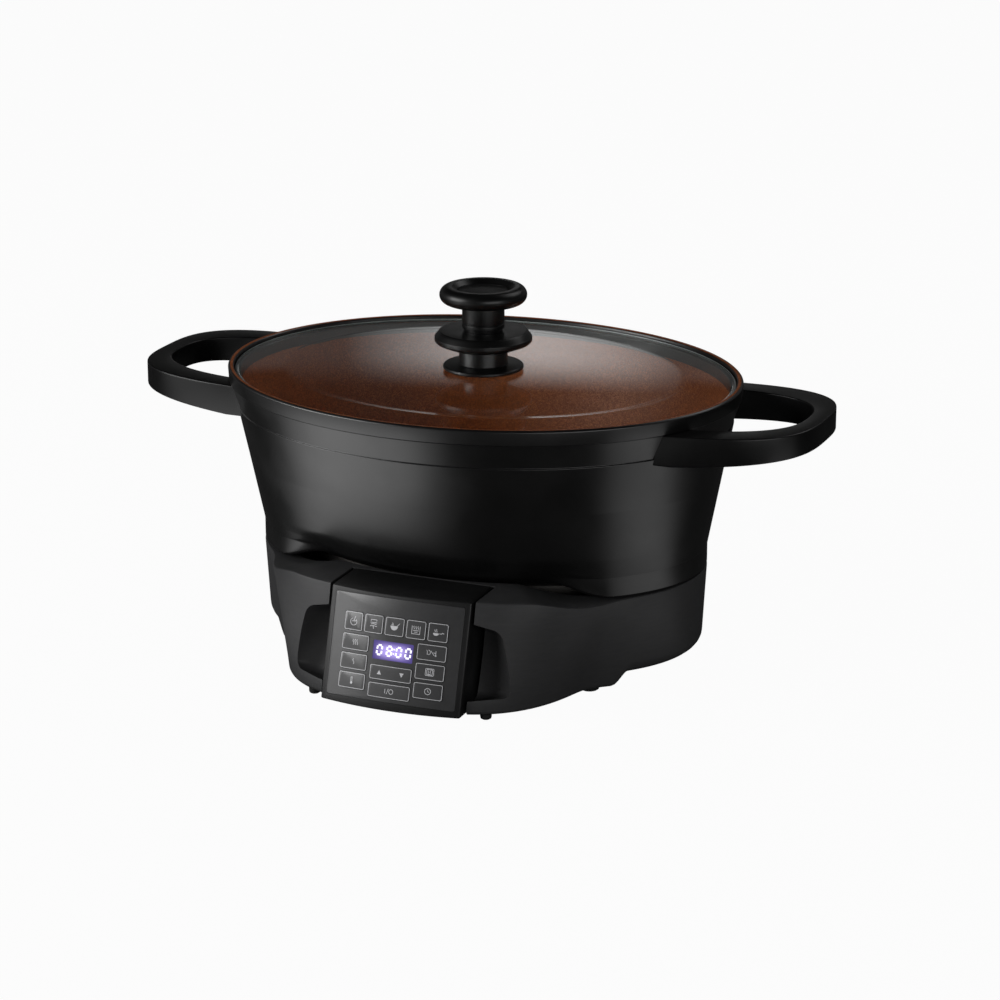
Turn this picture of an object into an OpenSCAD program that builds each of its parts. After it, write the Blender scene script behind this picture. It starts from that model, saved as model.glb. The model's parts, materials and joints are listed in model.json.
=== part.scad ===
// Oval countertop multicooker: a heated base with a key panel, a lift-out
// two-handled cooking pot and a loose glass lid with a knob.
// Millimetres, +Z up. The origin is on the table, under the middle of the
// whole cooker, and the key panel faces -Y.

/* [Pot] */
// Half length of the rim, along X
rim_a = 187.5; // [178:0.5:195]
// Half width of the rim, along Y
rim_b = 151.5; // [144:0.5:158]
// Height of the rim above the table
rim_z = 202; // [198:0.5:208]
// Height of the smooth lip below the rim
lip_h = 10.4; // [6:0.2:13]
// Height at which the sunk band under the lip ends
band_z = 174; // [168:0.5:180]
// Width of the top face of the rim
rim_t = 4.3; // [3.5:0.1:6]
// Depth of the step that carries the lid
lid_step = 6.8; // [4.2:0.1:7]
// Half length of the wall at its shoulder, above the foot ring
foot_a = 165.5; // [160:0.5:168]
// Half width of the wall at its shoulder, above the foot ring
foot_b = 117.2; // [112:0.5:120]
// Height of the shoulder
shoulder_z = 86.5; // [84:0.5:90]
// Height of the pot's underside
pot_floor_z = 73; // [72:0.1:75]
// Thickness of the pot's floor
pot_floor_t = 5; // [4:0.5:7]

/* [Handles] */
// Reach of each handle from the pot's axis
handle_reach = 254; // [245:0.5:262]
// Half width of the handle loop at its root
handle_w = 74; // [68:0.5:80]
// Width of the bar at the loop's outer end
bar_end_w = 13; // [10:0.5:18]
// Width of the bar along the loop's arms
bar_arm_w = 19.5; // [15:0.5:23]
// Height of the handle's top edge at its root
handle_top_z = 191.2; // [188:0.2:191.2]
// Height of the handle at its root
handle_h = 22; // [18:0.5:26]
// Rise of the handle's top face over its length
handle_rise = 2.6; // [0:0.2:5]
// Rise of the handle's underside over its length
handle_under_rise = 8.5; // [0:0.5:10]

/* [Lid and knob] */
// Thickness of the glass
glass_t = 4; // [3:0.5:4]
// Height of the glass above its edge at the middle
dome_rise = 2.8; // [2:0.2:8]
// Radius of the knob's grip
knob_r = 31; // [26:0.5:35]
// Height of the knob's grip
knob_cap_h = 12; // [9:0.5:15]
// Radius of the knob's upper stem
stem_r = 15; // [12:0.5:17]
// Height of the upper stem
stem_h = 20; // [16:0.5:32]
// Radius of the finger guard
guard_r = 34.6; // [30:0.5:40]
// Height of the finger guard
guard_h = 12; // [8:0.5:13]
// Radius of the knob's foot on the glass
knob_foot_r = 28.6; // [24:0.5:32]

/* [Base] */
// Half length of the base at its upper end edges
end_top_a = 165.3; // [162:0.5:168]
// Half width of the end oval at its upper edge
end_top_b = 118.2; // [114:0.5:122]
// Height of the upper end edges
end_top_z = 70; // [68:0.5:71]
// Half length of the end oval at its lower edge
end_foot_a = 162.5; // [152:0.5:164]
// Half width of the end oval at its lower edge
end_foot_b = 112; // [102:0.5:114]
// Height of the lower end edges
end_foot_z = 12; // [10:0.5:16]
// Height of the deck around the key panel
deck_z = 80; // [78:0.5:81]
// Half width of the front bulge at the deck
bulge_top_w = 138; // [132:1:142]
// Half width of the front bulge at its lower edge
bulge_foot_w = 115; // [110:1:120]
// Distance of the front bulge from the pot's axis, at the deck
front_top_y = 145; // [142:0.5:147]
// Distance of the front bulge from the pot's axis, at its lower edge
front_foot_y = 166; // [162:0.5:168]
// Distance of the rear bulge from the pot's axis, at the deck
rear_top_y = 143; // [140:0.5:145]
// Distance of the rear bulge from the pot's axis, at its lower edge
rear_foot_y = 150; // [146:0.5:154]
// Height of the bulges' lower edge
bulge_foot_z = 4; // [3:0.5:6]
// Thickness of the housing's wall
wall_t = 3.2; // [2.5:0.1:4]
// Half length of the well that takes the pot
well_a = 150; // [148:0.5:152]
// Half width of the well that takes the pot
well_b = 104; // [103.5:0.5:106]

/* [Key panel] */
// Width of the key panel
panel_w = 104; // [100:0.5:108]
// Lean of the panel's face from the vertical
panel_tilt = 16; // [14:0.5:18]
// Radius of the panel's bowed face
panel_r = 235; // [200:5:300]
// Gap between the panel and the base on each side
panel_gap = 2.3; // [1.5:0.1:3]
// Width of the dark plate on the panel
plate_w = 96.6; // [92:0.2:98]
// Height of the dark plate on the panel
plate_h = 71; // [66:0.5:72]
// Press of a key
key_travel = 0.7; // [0.4:0.1:1]

/* [Hidden] */
$fn = 64;

// Gap kept between parts that move apart
slip = 0.3;
// Steps round the lofted shells
pot_steps = 120;
base_steps = 180;
handle_steps = 28;
oval_steps = 96;

// Colours
matte_black = [0.06, 0.06, 0.065];
satin_black = [0.1, 0.1, 0.105];
panel_grey = [0.16, 0.16, 0.17];
key_grey = [0.24, 0.24, 0.25];
steel = [0.7, 0.7, 0.7];
alu = [0.78, 0.78, 0.76];
board_green = [0.1, 0.35, 0.16];
rubber_black = [0.04, 0.04, 0.04];

// Straight blend from p to q
function lerp(p, q, s) = p + (q - p) * s;
// Eased blend from 0 to 1
function ease(s) = let (c = min(1, max(0, s))) c * c * (3 - 2 * c);
// Distance from the axis to an oval, in the direction t
function oval_r(t, a, b) = 1 / sqrt(pow(cos(t) / a, 2) + pow(sin(t) / b, 2));
// The same for the squarer outline of a bulge
bulge_n = 3;
function bulge_r(t, w, d) =
    pow(pow(abs(cos(t)) / w, bulge_n) + pow(abs(sin(t)) / d, bulge_n), -1 / bulge_n);
// The larger of two distances, with the crease between them filled
crease_k = 36;
function soft_max(p, q) = pow(pow(p, crease_k) + pow(q, crease_k), 1 / crease_k);
// A point at a distance r and a height z, in the direction t
function spot(t, rz) = [rz[0] * cos(t), rz[0] * sin(t), rz[1]];

// Closed tube through a ring of closed profiles
module ring_loft(rings) {
    n = len(rings);
    k = len(rings[0]);
    points = [for (p = rings) each p];
    faces = [for (i = [0 : n - 1], j = [0 : k - 1])
        let (a = (i + 1) % n, b = (j + 1) % k)
        each [[i * k + j, i * k + b, a * k + b], [i * k + j, a * k + b, a * k + j]]];
    polyhedron(points, faces, convexity = 8);
}

// Closed dish through open profiles that start at one axis point and end at another
module dish_loft(rings, low, high) {
    n = len(rings);
    k = len(rings[0]);
    points = concat([for (p = rings) each p], [low, high]);
    sides = [for (i = [0 : n - 1], j = [0 : k - 2])
        let (a = (i + 1) % n)
        each [[i * k + j, i * k + j + 1, a * k + j + 1], [i * k + j, a * k + j + 1, a * k + j]]];
    caps = [for (i = [0 : n - 1])
        let (a = (i + 1) % n)
        each [[n * k, i * k, a * k], [n * k + 1, a * k + k - 1, i * k + k - 1]]];
    polyhedron(points, concat(sides, caps), convexity = 8);
}

// Oval outline as a list of points
function oval_points(a, b) = [for (i = [0 : oval_steps - 1])
    let (t = 360 * i / oval_steps)
    [a * cos(t), b * sin(t)]];

// Round wire through a list of points
module wire(points, r) {
    for (i = [0 : len(points) - 2]) {
        d = points[i + 1] - points[i];
        translate(points[i])
        rotate([0, acos(d[2] / norm(d)), atan2(d[1], d[0])])
        cylinder(h = norm(d), r = r, $fn = 24);
    }
    for (i = [1 : len(points) - 2])
        translate(points[i])
        sphere(r = 1.06 * r, $fn = 24);
}

// Base outline: the end oval and the two bulges at a height z
function bulge_reach(t, s) = sin(t) < 0
    ? lerp(front_foot_y, front_top_y, s)
    : lerp(rear_foot_y, rear_top_y, s);
function base_r(t, z) =
    let (e = (z - end_foot_z) / (end_top_z - end_foot_z),
        s = (z - bulge_foot_z) / (deck_z - bulge_foot_z))
    soft_max(
        oval_r(t, lerp(end_foot_a, end_top_a, e), lerp(end_foot_b, end_top_b, e)),
        bulge_r(t, lerp(bulge_foot_w, bulge_top_w, s), bulge_reach(t, s)));
// Where along X the edges climb or drop from the ends to the bulges
crease_x = 131;
deck_x = 87;
foot_crease_x = 137;
drop_x = 127;
function across(t, z) = abs(base_r(t, z) * cos(t));
function base_top(t) =
    lerp(end_top_z, deck_z, ease((crease_x - across(t, end_top_z)) / (crease_x - deck_x)));
function bulge_share(t) = ease((foot_crease_x - across(t, end_foot_z)) / (foot_crease_x - drop_x));
function base_foot(t) = lerp(end_foot_z, bulge_foot_z, bulge_share(t));
// Radius of the lower edge, large at the ends and small at the bulges
end_edge_r = 9;
bulge_edge_r = 3;
top_edge_r = 1.5;
lip_w = 14;
lip_t = 3;
// Inset of the lower lip's root from the outer wall, for an edge of radius e
function lip_root(e) = max(e, wall_t + 0.8);
skirt_t = 2.5;
skirt_z = 58;

function housing_profile(t) =
    let (zt = base_top(t),
        zb = base_foot(t),
        e = lerp(end_edge_r, bulge_edge_r, bulge_share(t)),
        ze = zb + e,
        re = base_r(t, ze),
        zm = (ze + zt) / 2,
        w = oval_r(t, well_a, well_b),
        zu = zt - lip_t)
    concat(
        [[re - e - lip_w, zb]],
        [for (q = [-90 : 30 : 0]) [re - e + e * cos(q), ze + e * sin(q)]],
        [[base_r(t, zm), zm],
        [base_r(t, zt - top_edge_r), zt - top_edge_r],
        [base_r(t, zt) - top_edge_r, zt],
        [w + 2, zt],
        [w, zt - 2],
        [w, skirt_z],
        [w + skirt_t, skirt_z],
        [w + skirt_t, zu],
        [base_r(t, zu) - wall_t, zu],
        [base_r(t, zm) - wall_t, zm],
        [base_r(t, ze + 1) - wall_t, ze + 1],
        [re - lip_root(e), zb + lip_t],
        [re - e - lip_w, zb + lip_t]]);

// Solid form of the base, a little inside its outer wall
function core_profile(t, inset) =
    let (zt = base_top(t) - inset,
        zb = base_foot(t) + inset)
    [[base_r(t, zb) - inset, zb], [base_r(t, zt) - inset, zt]];
module base_core(inset) {
    dish_loft([for (i = [0 : base_steps - 1])
        let (t = 360 * i / base_steps)
        [for (p = core_profile(t, inset)) spot(t, p)]],
        [0, 0, bulge_foot_z + inset], [0, 0, deck_z - inset]);
}

// Frame of the key panel: u across, v up its face, w out of it
panel_foot_z = 3.6;
panel_set = 0.5;
panel_h = (deck_z - panel_foot_z) / cos(panel_tilt);
bow_axis_w = -sqrt(panel_r * panel_r - panel_w * panel_w / 4);
// Everything is drawn about the pot's axis and then moved, so that the
// part's whole depth lies evenly about the origin
front_reach = front_foot_y - panel_set + (panel_r + bow_axis_w) / cos(panel_tilt);
rear_reach = max(rim_b, rear_foot_y);
module centred() {
    translate([0, (front_reach - rear_reach) / 2, 0])
    children();
}
module in_panel() {
    translate([0, panel_set - front_foot_y, panel_foot_z])
    rotate([90 - panel_tilt, 0, 0])
    children();
}
// Place on the bowed face, at a distance u round it and a height v
module on_face(u, v) {
    translate([0, v, bow_axis_w])
    rotate([0, u / panel_r * 180 / PI, 0])
    translate([0, 0, panel_r])
    children();
}

// Finger pockets beside the panel
pocket_r = 24;
pocket_skin = 2.6;
pocket_lean = 19.2;
pocket_reach = 80.5;
pocket_v0 = 13.5;
pocket_v1 = 64;
module pocket_form(grow) {
    mid_v = (pocket_v0 + pocket_v1) / 2;
    in_panel()
    intersection() {
        translate([pocket_reach - pocket_r, mid_v, 0])
        rotate([90, 0, 0])
        rotate([0, pocket_lean, 0])
        cylinder(h = 2 * panel_h, r = pocket_r + grow, center = true, $fn = 72);
        translate([0, 0, -50])
        linear_extrude(80)
        polygon([
            [pocket_reach - 28, pocket_v0 - 2 - grow],
            [pocket_reach + 12, pocket_v0 + 6 - grow],
            [pocket_reach + 12, pocket_v1 - 6 + grow],
            [pocket_reach - 28, pocket_v1 + 1 + grow]]);
    }
}
module both_sides() {
    children();
    mirror([1, 0, 0])
    children();
}

// Slot in the front of the housing for the panel
slot_half_w = panel_w / 2 + panel_gap;
slot_back_y = -107;
gland_t = 66;
gland_z = 34;
gland_r = 8;
vent_pitch = 9;
cover_screw_r = 1.6;
cover_head_r = 3;
cover_head_h = 1.8;
cover_screw_spots = [[90.5, -118], [-90.5, -118], [138, 33], [-138, 33], [50, 134], [-50, 134]];
// Top of the sunk head of the cover screw at the spot p
function cover_head_z(p) = base_foot(atan2(p[1], p[0])) + cover_head_h;

module base_housing() {
    color(matte_black)
    centred()
    difference() {
        union() {
            ring_loft([for (i = [0 : base_steps - 1])
                let (t = 360 * i / base_steps)
                [for (p = housing_profile(t)) spot(t, p)]]);
            intersection() {
                base_core(wall_t / 2);
                both_sides()
                pocket_form(pocket_skin);
            }
        }
        both_sides()
        pocket_form(0);
        translate([-slot_half_w, slot_back_y - 100, -1])
        cube([2 * slot_half_w, 100, 120]);
        at_gland()
        cylinder(h = 80, r = gland_r + 0.1, center = true, $fn = 48);
        for (i = [-4 : 3])
            translate([i * vent_pitch - 4, rear_foot_y - 20, 24])
            cube([3.2, 60, 22]);
        for (p = cover_screw_spots)
            translate([p[0], p[1], cover_head_z(p)]) {
                cylinder(h = 20, r = cover_screw_r + 0.15, center = true, $fn = 24);
                translate([0, 0, -2 * cover_head_h])
                cylinder(h = 2 * cover_head_h, r = cover_head_r + slip, $fn = 32);
            }
    }
}

// Cover that closes the base from inside its lower lip
cover_t = 2.5;
cover_z = bulge_foot_z + lip_t;
cover_inset = 0.5;
cover_flat = 0.72;
cover_seat = 0.2;
flange_w = 80;
flange_h = 44;
function cover_profile(t) =
    let (e = lerp(end_edge_r, bulge_edge_r, bulge_share(t)),
        z = base_foot(t) + lip_t + cover_seat,
        r = base_r(t, base_foot(t) + e) - lip_root(e) - cover_inset,
        drop_r = r - lip_w - cover_t)
    [[cover_flat * r, cover_z],
    [drop_r, z],
    [r, z],
    [r, z + cover_t],
    [drop_r - 1, z + cover_t],
    [cover_flat * r - 1, cover_z + cover_t]];
module bottom_cover() {
    color(matte_black)
    centred()
    union() {
        difference() {
            dish_loft([for (i = [0 : base_steps - 1])
                let (t = 360 * i / base_steps)
                [for (p = cover_profile(t)) spot(t, p)]],
                [0, 0, cover_z], [0, 0, cover_z + cover_t]);
            both_sides()
            pocket_form(pocket_skin + cover_seat);
            translate([-slot_half_w, slot_back_y - 100, -1])
            cube([2 * slot_half_w, 100, 40]);
            for (p = cover_screw_spots)
                translate([p[0], p[1], -1])
                cylinder(h = 30, r = cover_screw_r + 0.15, $fn = 24);
        }
        difference() {
            translate([-flange_w / 2, slot_back_y, cover_z])
            cube([flange_w, cover_t, flange_h]);
            panel_screw_places()
            cylinder(h = 30, r = panel_screw_r + 0.15, center = true, $fn = 24);
        }
    }
}

// Rubber feet under the lower lip
foot_x = 109;
foot_y = 69;
foot_r = 7;
front_foot_x = 64.5;
front_foot_place_y = -149;
front_foot_r = 4;
module foot(r) {
    rotate_extrude($fn = 48)
    polygon([[0, 0], [r - 1.2, 0], [r - 0.3, 0.6], [r, 1.8], [r, bulge_foot_z], [0, bulge_foot_z]]);
}
module main_feet() {
    color(rubber_black)
    centred()
    for (sx = [-1, 1], sy = [-1, 1])
        translate([sx * foot_x, sy * foot_y, 0])
        foot(foot_r);
}
module front_feet() {
    color(rubber_black)
    centred()
    for (sx = [-1, 1])
        translate([sx * front_foot_x, front_foot_place_y, 0])
        foot(front_foot_r);
}
module cover_screws() {
    color(steel)
    centred()
    for (p = cover_screw_spots)
        translate([p[0], p[1], cover_head_z(p)]) {
            translate([0, 0, -cover_head_h])
            cylinder(h = cover_head_h, r = cover_head_r, $fn = 32);
            cylinder(h = 9, r = cover_screw_r, $fn = 32);
        }
}

// Heater: a dished steel shield, a cast plate and a tube element sunk in its underside
plate_a = 132;
plate_b = 88;
plate_z = pot_floor_z - slip;
plate_t = 8.7;
plate_low_z = plate_z - plate_t;
shield_t = 1.2;
shield_z = 43;
shield_floor_a = 120;
shield_floor_b = 80;
sensor_r = 12;
sensor_hole_r = 13;
element_r = 4.2;
element_bend_r = 50;
element_half = 60;
element_z = plate_low_z - 1.5;
pin_x = 12;
pin_r = 3;
pin_z = 36;
stud_x = 85;
stud_y = 20;
function shield_profile(t) =
    let (rim = oval_r(t, well_a, well_b),
        floor = oval_r(t, shield_floor_a, shield_floor_b))
    [[floor, shield_z],
    [rim - 4, skirt_z - shield_t],
    [rim + skirt_t, skirt_z - shield_t],
    [rim + skirt_t, skirt_z],
    [rim - 4.5, skirt_z],
    [floor - 0.5, shield_z + shield_t]];
module heat_shield() {
    color(steel)
    centred()
    difference() {
        dish_loft([for (i = [0 : oval_steps - 1])
            let (t = 360 * i / oval_steps)
            [for (p = shield_profile(t)) spot(t, p)]],
            [0, 0, shield_z], [0, 0, shield_z + shield_t]);
        cylinder(h = 200, r = sensor_hole_r, center = true);
        for (sx = [-1, 1])
            translate([sx * pin_x, element_bend_r, 0])
            cylinder(h = 200, r = pin_r + 2);
        stud_places()
        cylinder(h = 200, r = 2.6, center = true, $fn = 32);
    }
}
module stud_places() {
    for (sx = [-1, 1], sy = [-1, 1])
        translate([sx * stud_x, sy * stud_y, 0])
        children();
}
// Stadium-shaped run of round tube
module element_tube(r) {
    translate([0, 0, element_z]) {
        for (s = [-1, 1]) {
            translate([-element_half, s * element_bend_r, 0])
            rotate([0, 90, 0])
            cylinder(h = 2 * element_half, r = r, $fn = 32);
            translate([s * element_half, 0, 0])
            rotate([0, 0, s > 0 ? -90 : 90])
            rotate_extrude(angle = 180, $fn = 96)
            translate([element_bend_r, 0])
            circle(r = r, $fn = 32);
        }
    }
}
module hot_plate() {
    color(alu)
    centred()
    difference() {
        translate([0, 0, plate_low_z])
        linear_extrude(plate_t)
        polygon(oval_points(plate_a, plate_b));
        cylinder(h = 200, r = sensor_hole_r, $fn = 64);
        element_tube(element_r + 0.05);
    }
}
module heating_element() {
    color(steel)
    centred()
    union() {
        element_tube(element_r);
        for (sx = [-1, 1])
            translate([sx * pin_x, element_bend_r, pin_z])
            cylinder(h = element_z - pin_z, r = pin_r, $fn = 32);
    }
}
module plate_studs() {
    color(steel)
    centred()
    stud_places() {
        translate([0, 0, shield_z + shield_t])
        cylinder(h = plate_low_z - shield_z - shield_t, r = 4, $fn = 32);
        translate([0, 0, shield_z - 4])
        cylinder(h = 6, r = 2.5, $fn = 32);
        translate([0, 0, shield_z - 3])
        cylinder(h = 3, r = 4.2, $fn = 6);
    }
}
fuse_r = 3;
module thermal_fuse() {
    color("ivory")
    centred()
    translate([-34, -24, plate_low_z - fuse_r])
    rotate([0, 90, 0]) {
        cylinder(h = 22, r = fuse_r, $fn = 32);
        translate([0, 0, -8])
        cylinder(h = 38, r = 0.6, $fn = 16);
    }
}

// Sprung sensor that the pot's floor holds down
sensor_stem_r = 4;
guide_r = 6;
guide_top_z = 60;
guide_low_z = 32;
sensor_low_z = 27;
module sensor_cap() {
    color(alu)
    centred()
    rotate_extrude($fn = 64)
    polygon([[0, sensor_low_z], [5.6, sensor_low_z], [5.6, sensor_low_z + 2],
        [sensor_stem_r, sensor_low_z + 2], [sensor_stem_r, plate_z - 3], [sensor_r, plate_z - 3],
        [sensor_r, plate_z - 0.6], [sensor_r - 0.6, plate_z], [0, plate_z]]);
}
module sensor_guide() {
    color(steel)
    centred()
    rotate_extrude($fn = 64)
    polygon([[sensor_stem_r + slip, guide_low_z], [guide_r, guide_low_z],
        [guide_r, shield_z + shield_t], [sensor_hole_r + 4, shield_z + shield_t],
        [sensor_hole_r + 4, shield_z + shield_t + 1.5], [guide_r, shield_z + shield_t + 1.5],
        [guide_r, guide_top_z], [sensor_stem_r + slip, guide_top_z]]);
}
// Coil of round wire, swept in short steps
coil_r = 8.2;
coil_wire_r = 0.8;
coil_turns = 5;
coil_steps = 14;
coil_sides = 6;
coil_low_z = shield_z + shield_t + 1.5 + coil_wire_r;
coil_high_z = plate_z - 3 - coil_wire_r;
module sensor_spring() {
    n = coil_turns * coil_steps;
    k = coil_sides;
    points = [for (i = [0 : n], j = [0 : k - 1])
        let (t = 360 * i / coil_steps,
            q = 360 * j / k,
            r = coil_r + coil_wire_r * cos(q))
        [r * cos(t), r * sin(t), lerp(coil_low_z, coil_high_z, i / n) + coil_wire_r * sin(q)]];
    sides = [for (i = [0 : n - 1], j = [0 : k - 1])
        let (b = (j + 1) % k)
        each [[i * k + j, i * k + b, (i + 1) * k + b], [i * k + j, (i + 1) * k + b, (i + 1) * k + j]]];
    low_end = [for (j = [k - 1 : -1 : 0]) j];
    high_end = [for (j = [0 : k - 1]) n * k + j];
    color(steel)
    centred()
    polyhedron(points, concat(sides, [low_end, high_end]), convexity = 8);
}

// Electronics on the cover
board_w = 124;
board_d = 56;
board_y = 22;
board_z = 22;
board_t = 1.6;
spacer_x = 56;
spacer_y = [27, 73];
module power_board() {
    color(board_green)
    centred()
    difference() {
        translate([-board_w / 2, board_y, board_z])
        cube([board_w, board_d, board_t]);
        for (sx = [-1, 1], y = spacer_y)
            translate([sx * spacer_x, y, 0])
            cylinder(h = 60, r = 1.8, $fn = 24);
    }
}
module board_spacers() {
    color("goldenrod")
    centred()
    for (sx = [-1, 1], y = spacer_y)
        translate([sx * spacer_x, y, cover_z + cover_t]) {
            cylinder(h = board_z - cover_z - cover_t, r = 3.2, $fn = 32);
            cylinder(h = board_z + board_t + 2 - cover_z - cover_t, r = 1.6, $fn = 32);
        }
}
module relay() {
    color([0.1, 0.2, 0.5])
    centred()
    translate([-50, 34, board_z + board_t])
    cube([22, 16, 15]);
}
module filter_capacitor() {
    color([0.75, 0.7, 0.2])
    centred()
    translate([26, 30, board_z + board_t])
    cube([20, 9, 14]);
}
block_y = 58;
block_h = 11;
block_w = 40;
block_d = 13;
block_pitch = 9;
module terminal_block() {
    color([0.85, 0.85, 0.8])
    centred()
    difference() {
        translate([-block_w / 2, block_y, board_z + board_t])
        cube([block_w, block_d, block_h]);
        for (i = [-1.5 : 1 : 1.5])
            translate([i * block_pitch, block_y + block_d / 2, board_z + board_t + 3])
            cylinder(h = 20, r = 2.4, $fn = 32);
    }
}
wire_r = 1.5;
module supply_wires() {
    color([0.35, 0.2, 0.1])
    centred()
    for (s = [-1, 1])
        wire([[gland_spot[0] - 4 + 2 * s, gland_spot[1] - gland_in - 1.5, gland_z],
            [gland_spot[0] - 6 + 2 * s, 104, gland_z + 2],
            [18 - block_pitch * (1 - s) / 2, 84, gland_z + 6],
            [block_pitch * (1 + s / 2), block_y + block_d / 2, gland_z + 4],
            [block_pitch * (1 + s / 2), block_y + block_d / 2, board_z + board_t + 4]], wire_r);
}
module element_wires() {
    color([0.9, 0.88, 0.8])
    centred()
    for (s = [-1, 1])
        wire([[s * pin_x, element_bend_r, pin_z - 0.05],
            [s * pin_x, element_bend_r, pin_z - 3],
            [s * pin_x, block_y - 1.7, pin_z - 5],
            [s * pin_x, block_y - 1.7, board_z + board_t + wire_r]], wire_r);
}

// Inlet gland for the cord, square to the rear wall
gland_spot = spot(gland_t, [base_r(gland_t, gland_z), gland_z]);
gland_side = spot(gland_t - 1, [base_r(gland_t - 1, gland_z), gland_z])
    - spot(gland_t + 1, [base_r(gland_t + 1, gland_z), gland_z]);
gland_turn = atan2(gland_side[1], gland_side[0]);
gland_lean = atan((base_r(gland_t, gland_z) - base_r(gland_t, gland_z + 1))
    * cos(gland_turn + 90 - gland_t));
module at_gland() {
    translate(gland_spot)
    rotate([0, 0, gland_turn])
    rotate([gland_lean - 90, 0, 0])
    children();
}
gland_in = 10;
gland_out = 7;
flange_t = 2.5;
flange_gap = 0.2;
nut_t = 3;
nut_gap = wall_t + 1;
gland_bore_r = 3.6;
module cord_gland() {
    color(rubber_black)
    centred()
    at_gland()
    difference() {
        union() {
            translate([0, 0, -gland_in])
            cylinder(h = gland_in + gland_out, r = gland_r - 1.4, $fn = 48);
            translate([0, 0, -nut_gap])
            cylinder(h = nut_gap + flange_gap, r = gland_r, $fn = 48);
            translate([0, 0, flange_gap])
            cylinder(h = flange_t, r = gland_r + 3, $fn = 48);
            translate([0, 0, -nut_gap - nut_t])
            cylinder(h = nut_t, r = gland_r + 3, $fn = 6);
        }
        cylinder(h = 300, r = gland_bore_r, center = true, $fn = 48);
    }
}

// Key panel: a tilted, bowed box set into the front of the base
panel_wall = 2.6;
panel_back_y = slot_back_y - 0.2;
plate_t_face = 1.2;
plate_v = 4.3;
window_u = 0.4;
window_v = 39.4;
window_w = 29.8;
window_h = 12.9;
panel_screw_r = 1.5;
panel_screw_x = 30;
panel_screw_z = [18, 42];
// Height of the bowed face over the panel's edges, at a distance u
function face_w(u) = bow_axis_w + panel_r * cos(u / panel_r * 180 / PI);
// Slice of a bowed sheet between two radii, w_across wide, from v0 up to v1
module bowed_sheet(r0, r1, w_across, v0, v1) {
    translate([0, v1, 0])
    rotate([90, 0, 0])
    linear_extrude(v1 - v0)
    intersection() {
        translate([0, bow_axis_w])
        difference() {
            circle(r = r1, $fn = 360);
            circle(r = r0, $fn = 360);
        }
        translate([-w_across / 2, -20])
        square([w_across, 60]);
    }
}
// The panel's box, cut level at its deck and its foot
module panel_form(inset) {
    intersection() {
        in_panel()
        translate([0, 2 * panel_h, 0])
        rotate([90, 0, 0])
        linear_extrude(4 * panel_h)
        intersection() {
            translate([0, bow_axis_w])
            circle(r = panel_r - inset, $fn = 360);
            translate([inset - panel_w / 2, -110])
            square([panel_w - 2 * inset, 140]);
        }
        translate([-100, panel_back_y - inset - 100, panel_foot_z + inset])
        cube([200, 100, deck_z - panel_foot_z - 2 * inset]);
    }
}
module panel_screw_places() {
    for (sx = [-1, 1], z = panel_screw_z)
        translate([sx * panel_screw_x, slot_back_y, z])
        rotate([90, 0, 0])
        children();
}
module panel_housing() {
    color(matte_black)
    centred()
    difference() {
        union() {
            difference() {
                panel_form(0);
                panel_form(panel_wall);
            }
            panel_screw_places()
            translate([0, 0, 0.2])
            cylinder(h = 12, r = 4, $fn = 32);
        }
        in_panel() {
            bowed_sheet(panel_r - plate_t_face, panel_r + 3, plate_w + 0.2, plate_v - 0.1,
                plate_v + plate_h + 0.1);
            translate([-plate_w / 2 + 1.8, plate_v + 1.7, -6])
            cube([plate_w - 3.6, plate_h - 3.4, 30]);
        }
        panel_screw_places()
        cylinder(h = 11, r = panel_screw_r + 0.1, $fn = 32);
    }
}
module panel_plate() {
    color(panel_grey)
    centred()
    in_panel()
    difference() {
        bowed_sheet(panel_r - plate_t_face, panel_r, plate_w, plate_v, plate_v + plate_h);
        for (k = KEYS)
            on_face(k[0], k[1])
            cube([k[2] + 2 * slip, k[3] + 2 * slip, 8], center = true);
        on_face(window_u, window_v)
        cube([window_w, window_h, 8], center = true);
    }
}
module display_window() {
    color([0.2, 0.18, 0.4])
    centred()
    in_panel()
    intersection() {
        bowed_sheet(panel_r - plate_t_face, panel_r - 0.1, plate_w, plate_v, plate_v + plate_h);
        on_face(window_u, window_v)
        cube([window_w, window_h, 8], center = true);
    }
}
board_w_pos = -13.6;
switch_top_w = -9;
module_depth = 2.4;
module_w = 32;
module_h = 14;
module display_module() {
    color([0.05, 0.05, 0.06])
    centred()
    in_panel()
    translate([window_u - module_w / 2, window_v - module_h / 2, board_w_pos + board_t])
    cube([module_w, module_h, face_w(0) - module_depth - board_w_pos - board_t]);
}
module control_board() {
    color(board_green)
    centred()
    in_panel()
    union() {
        translate([-panel_w / 2 + panel_wall, 8, board_w_pos])
        cube([panel_w - 2 * panel_wall, 62, board_t]);
        for (k = KEYS)
            translate([panel_r * sin(k[0] / panel_r * 180 / PI) - 3, k[1] - 3, board_w_pos + board_t])
            cube([6, 6, switch_top_w - board_w_pos - board_t]);
    }
}
module panel_screws() {
    color(steel)
    centred()
    panel_screw_places() {
        translate([0, 0, -cover_t])
        cylinder(h = cover_t + 10, r = panel_screw_r, $fn = 32);
        translate([0, 0, -cover_t - 2])
        cylinder(h = 2, r = 3, $fn = 32);
    }
}

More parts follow.
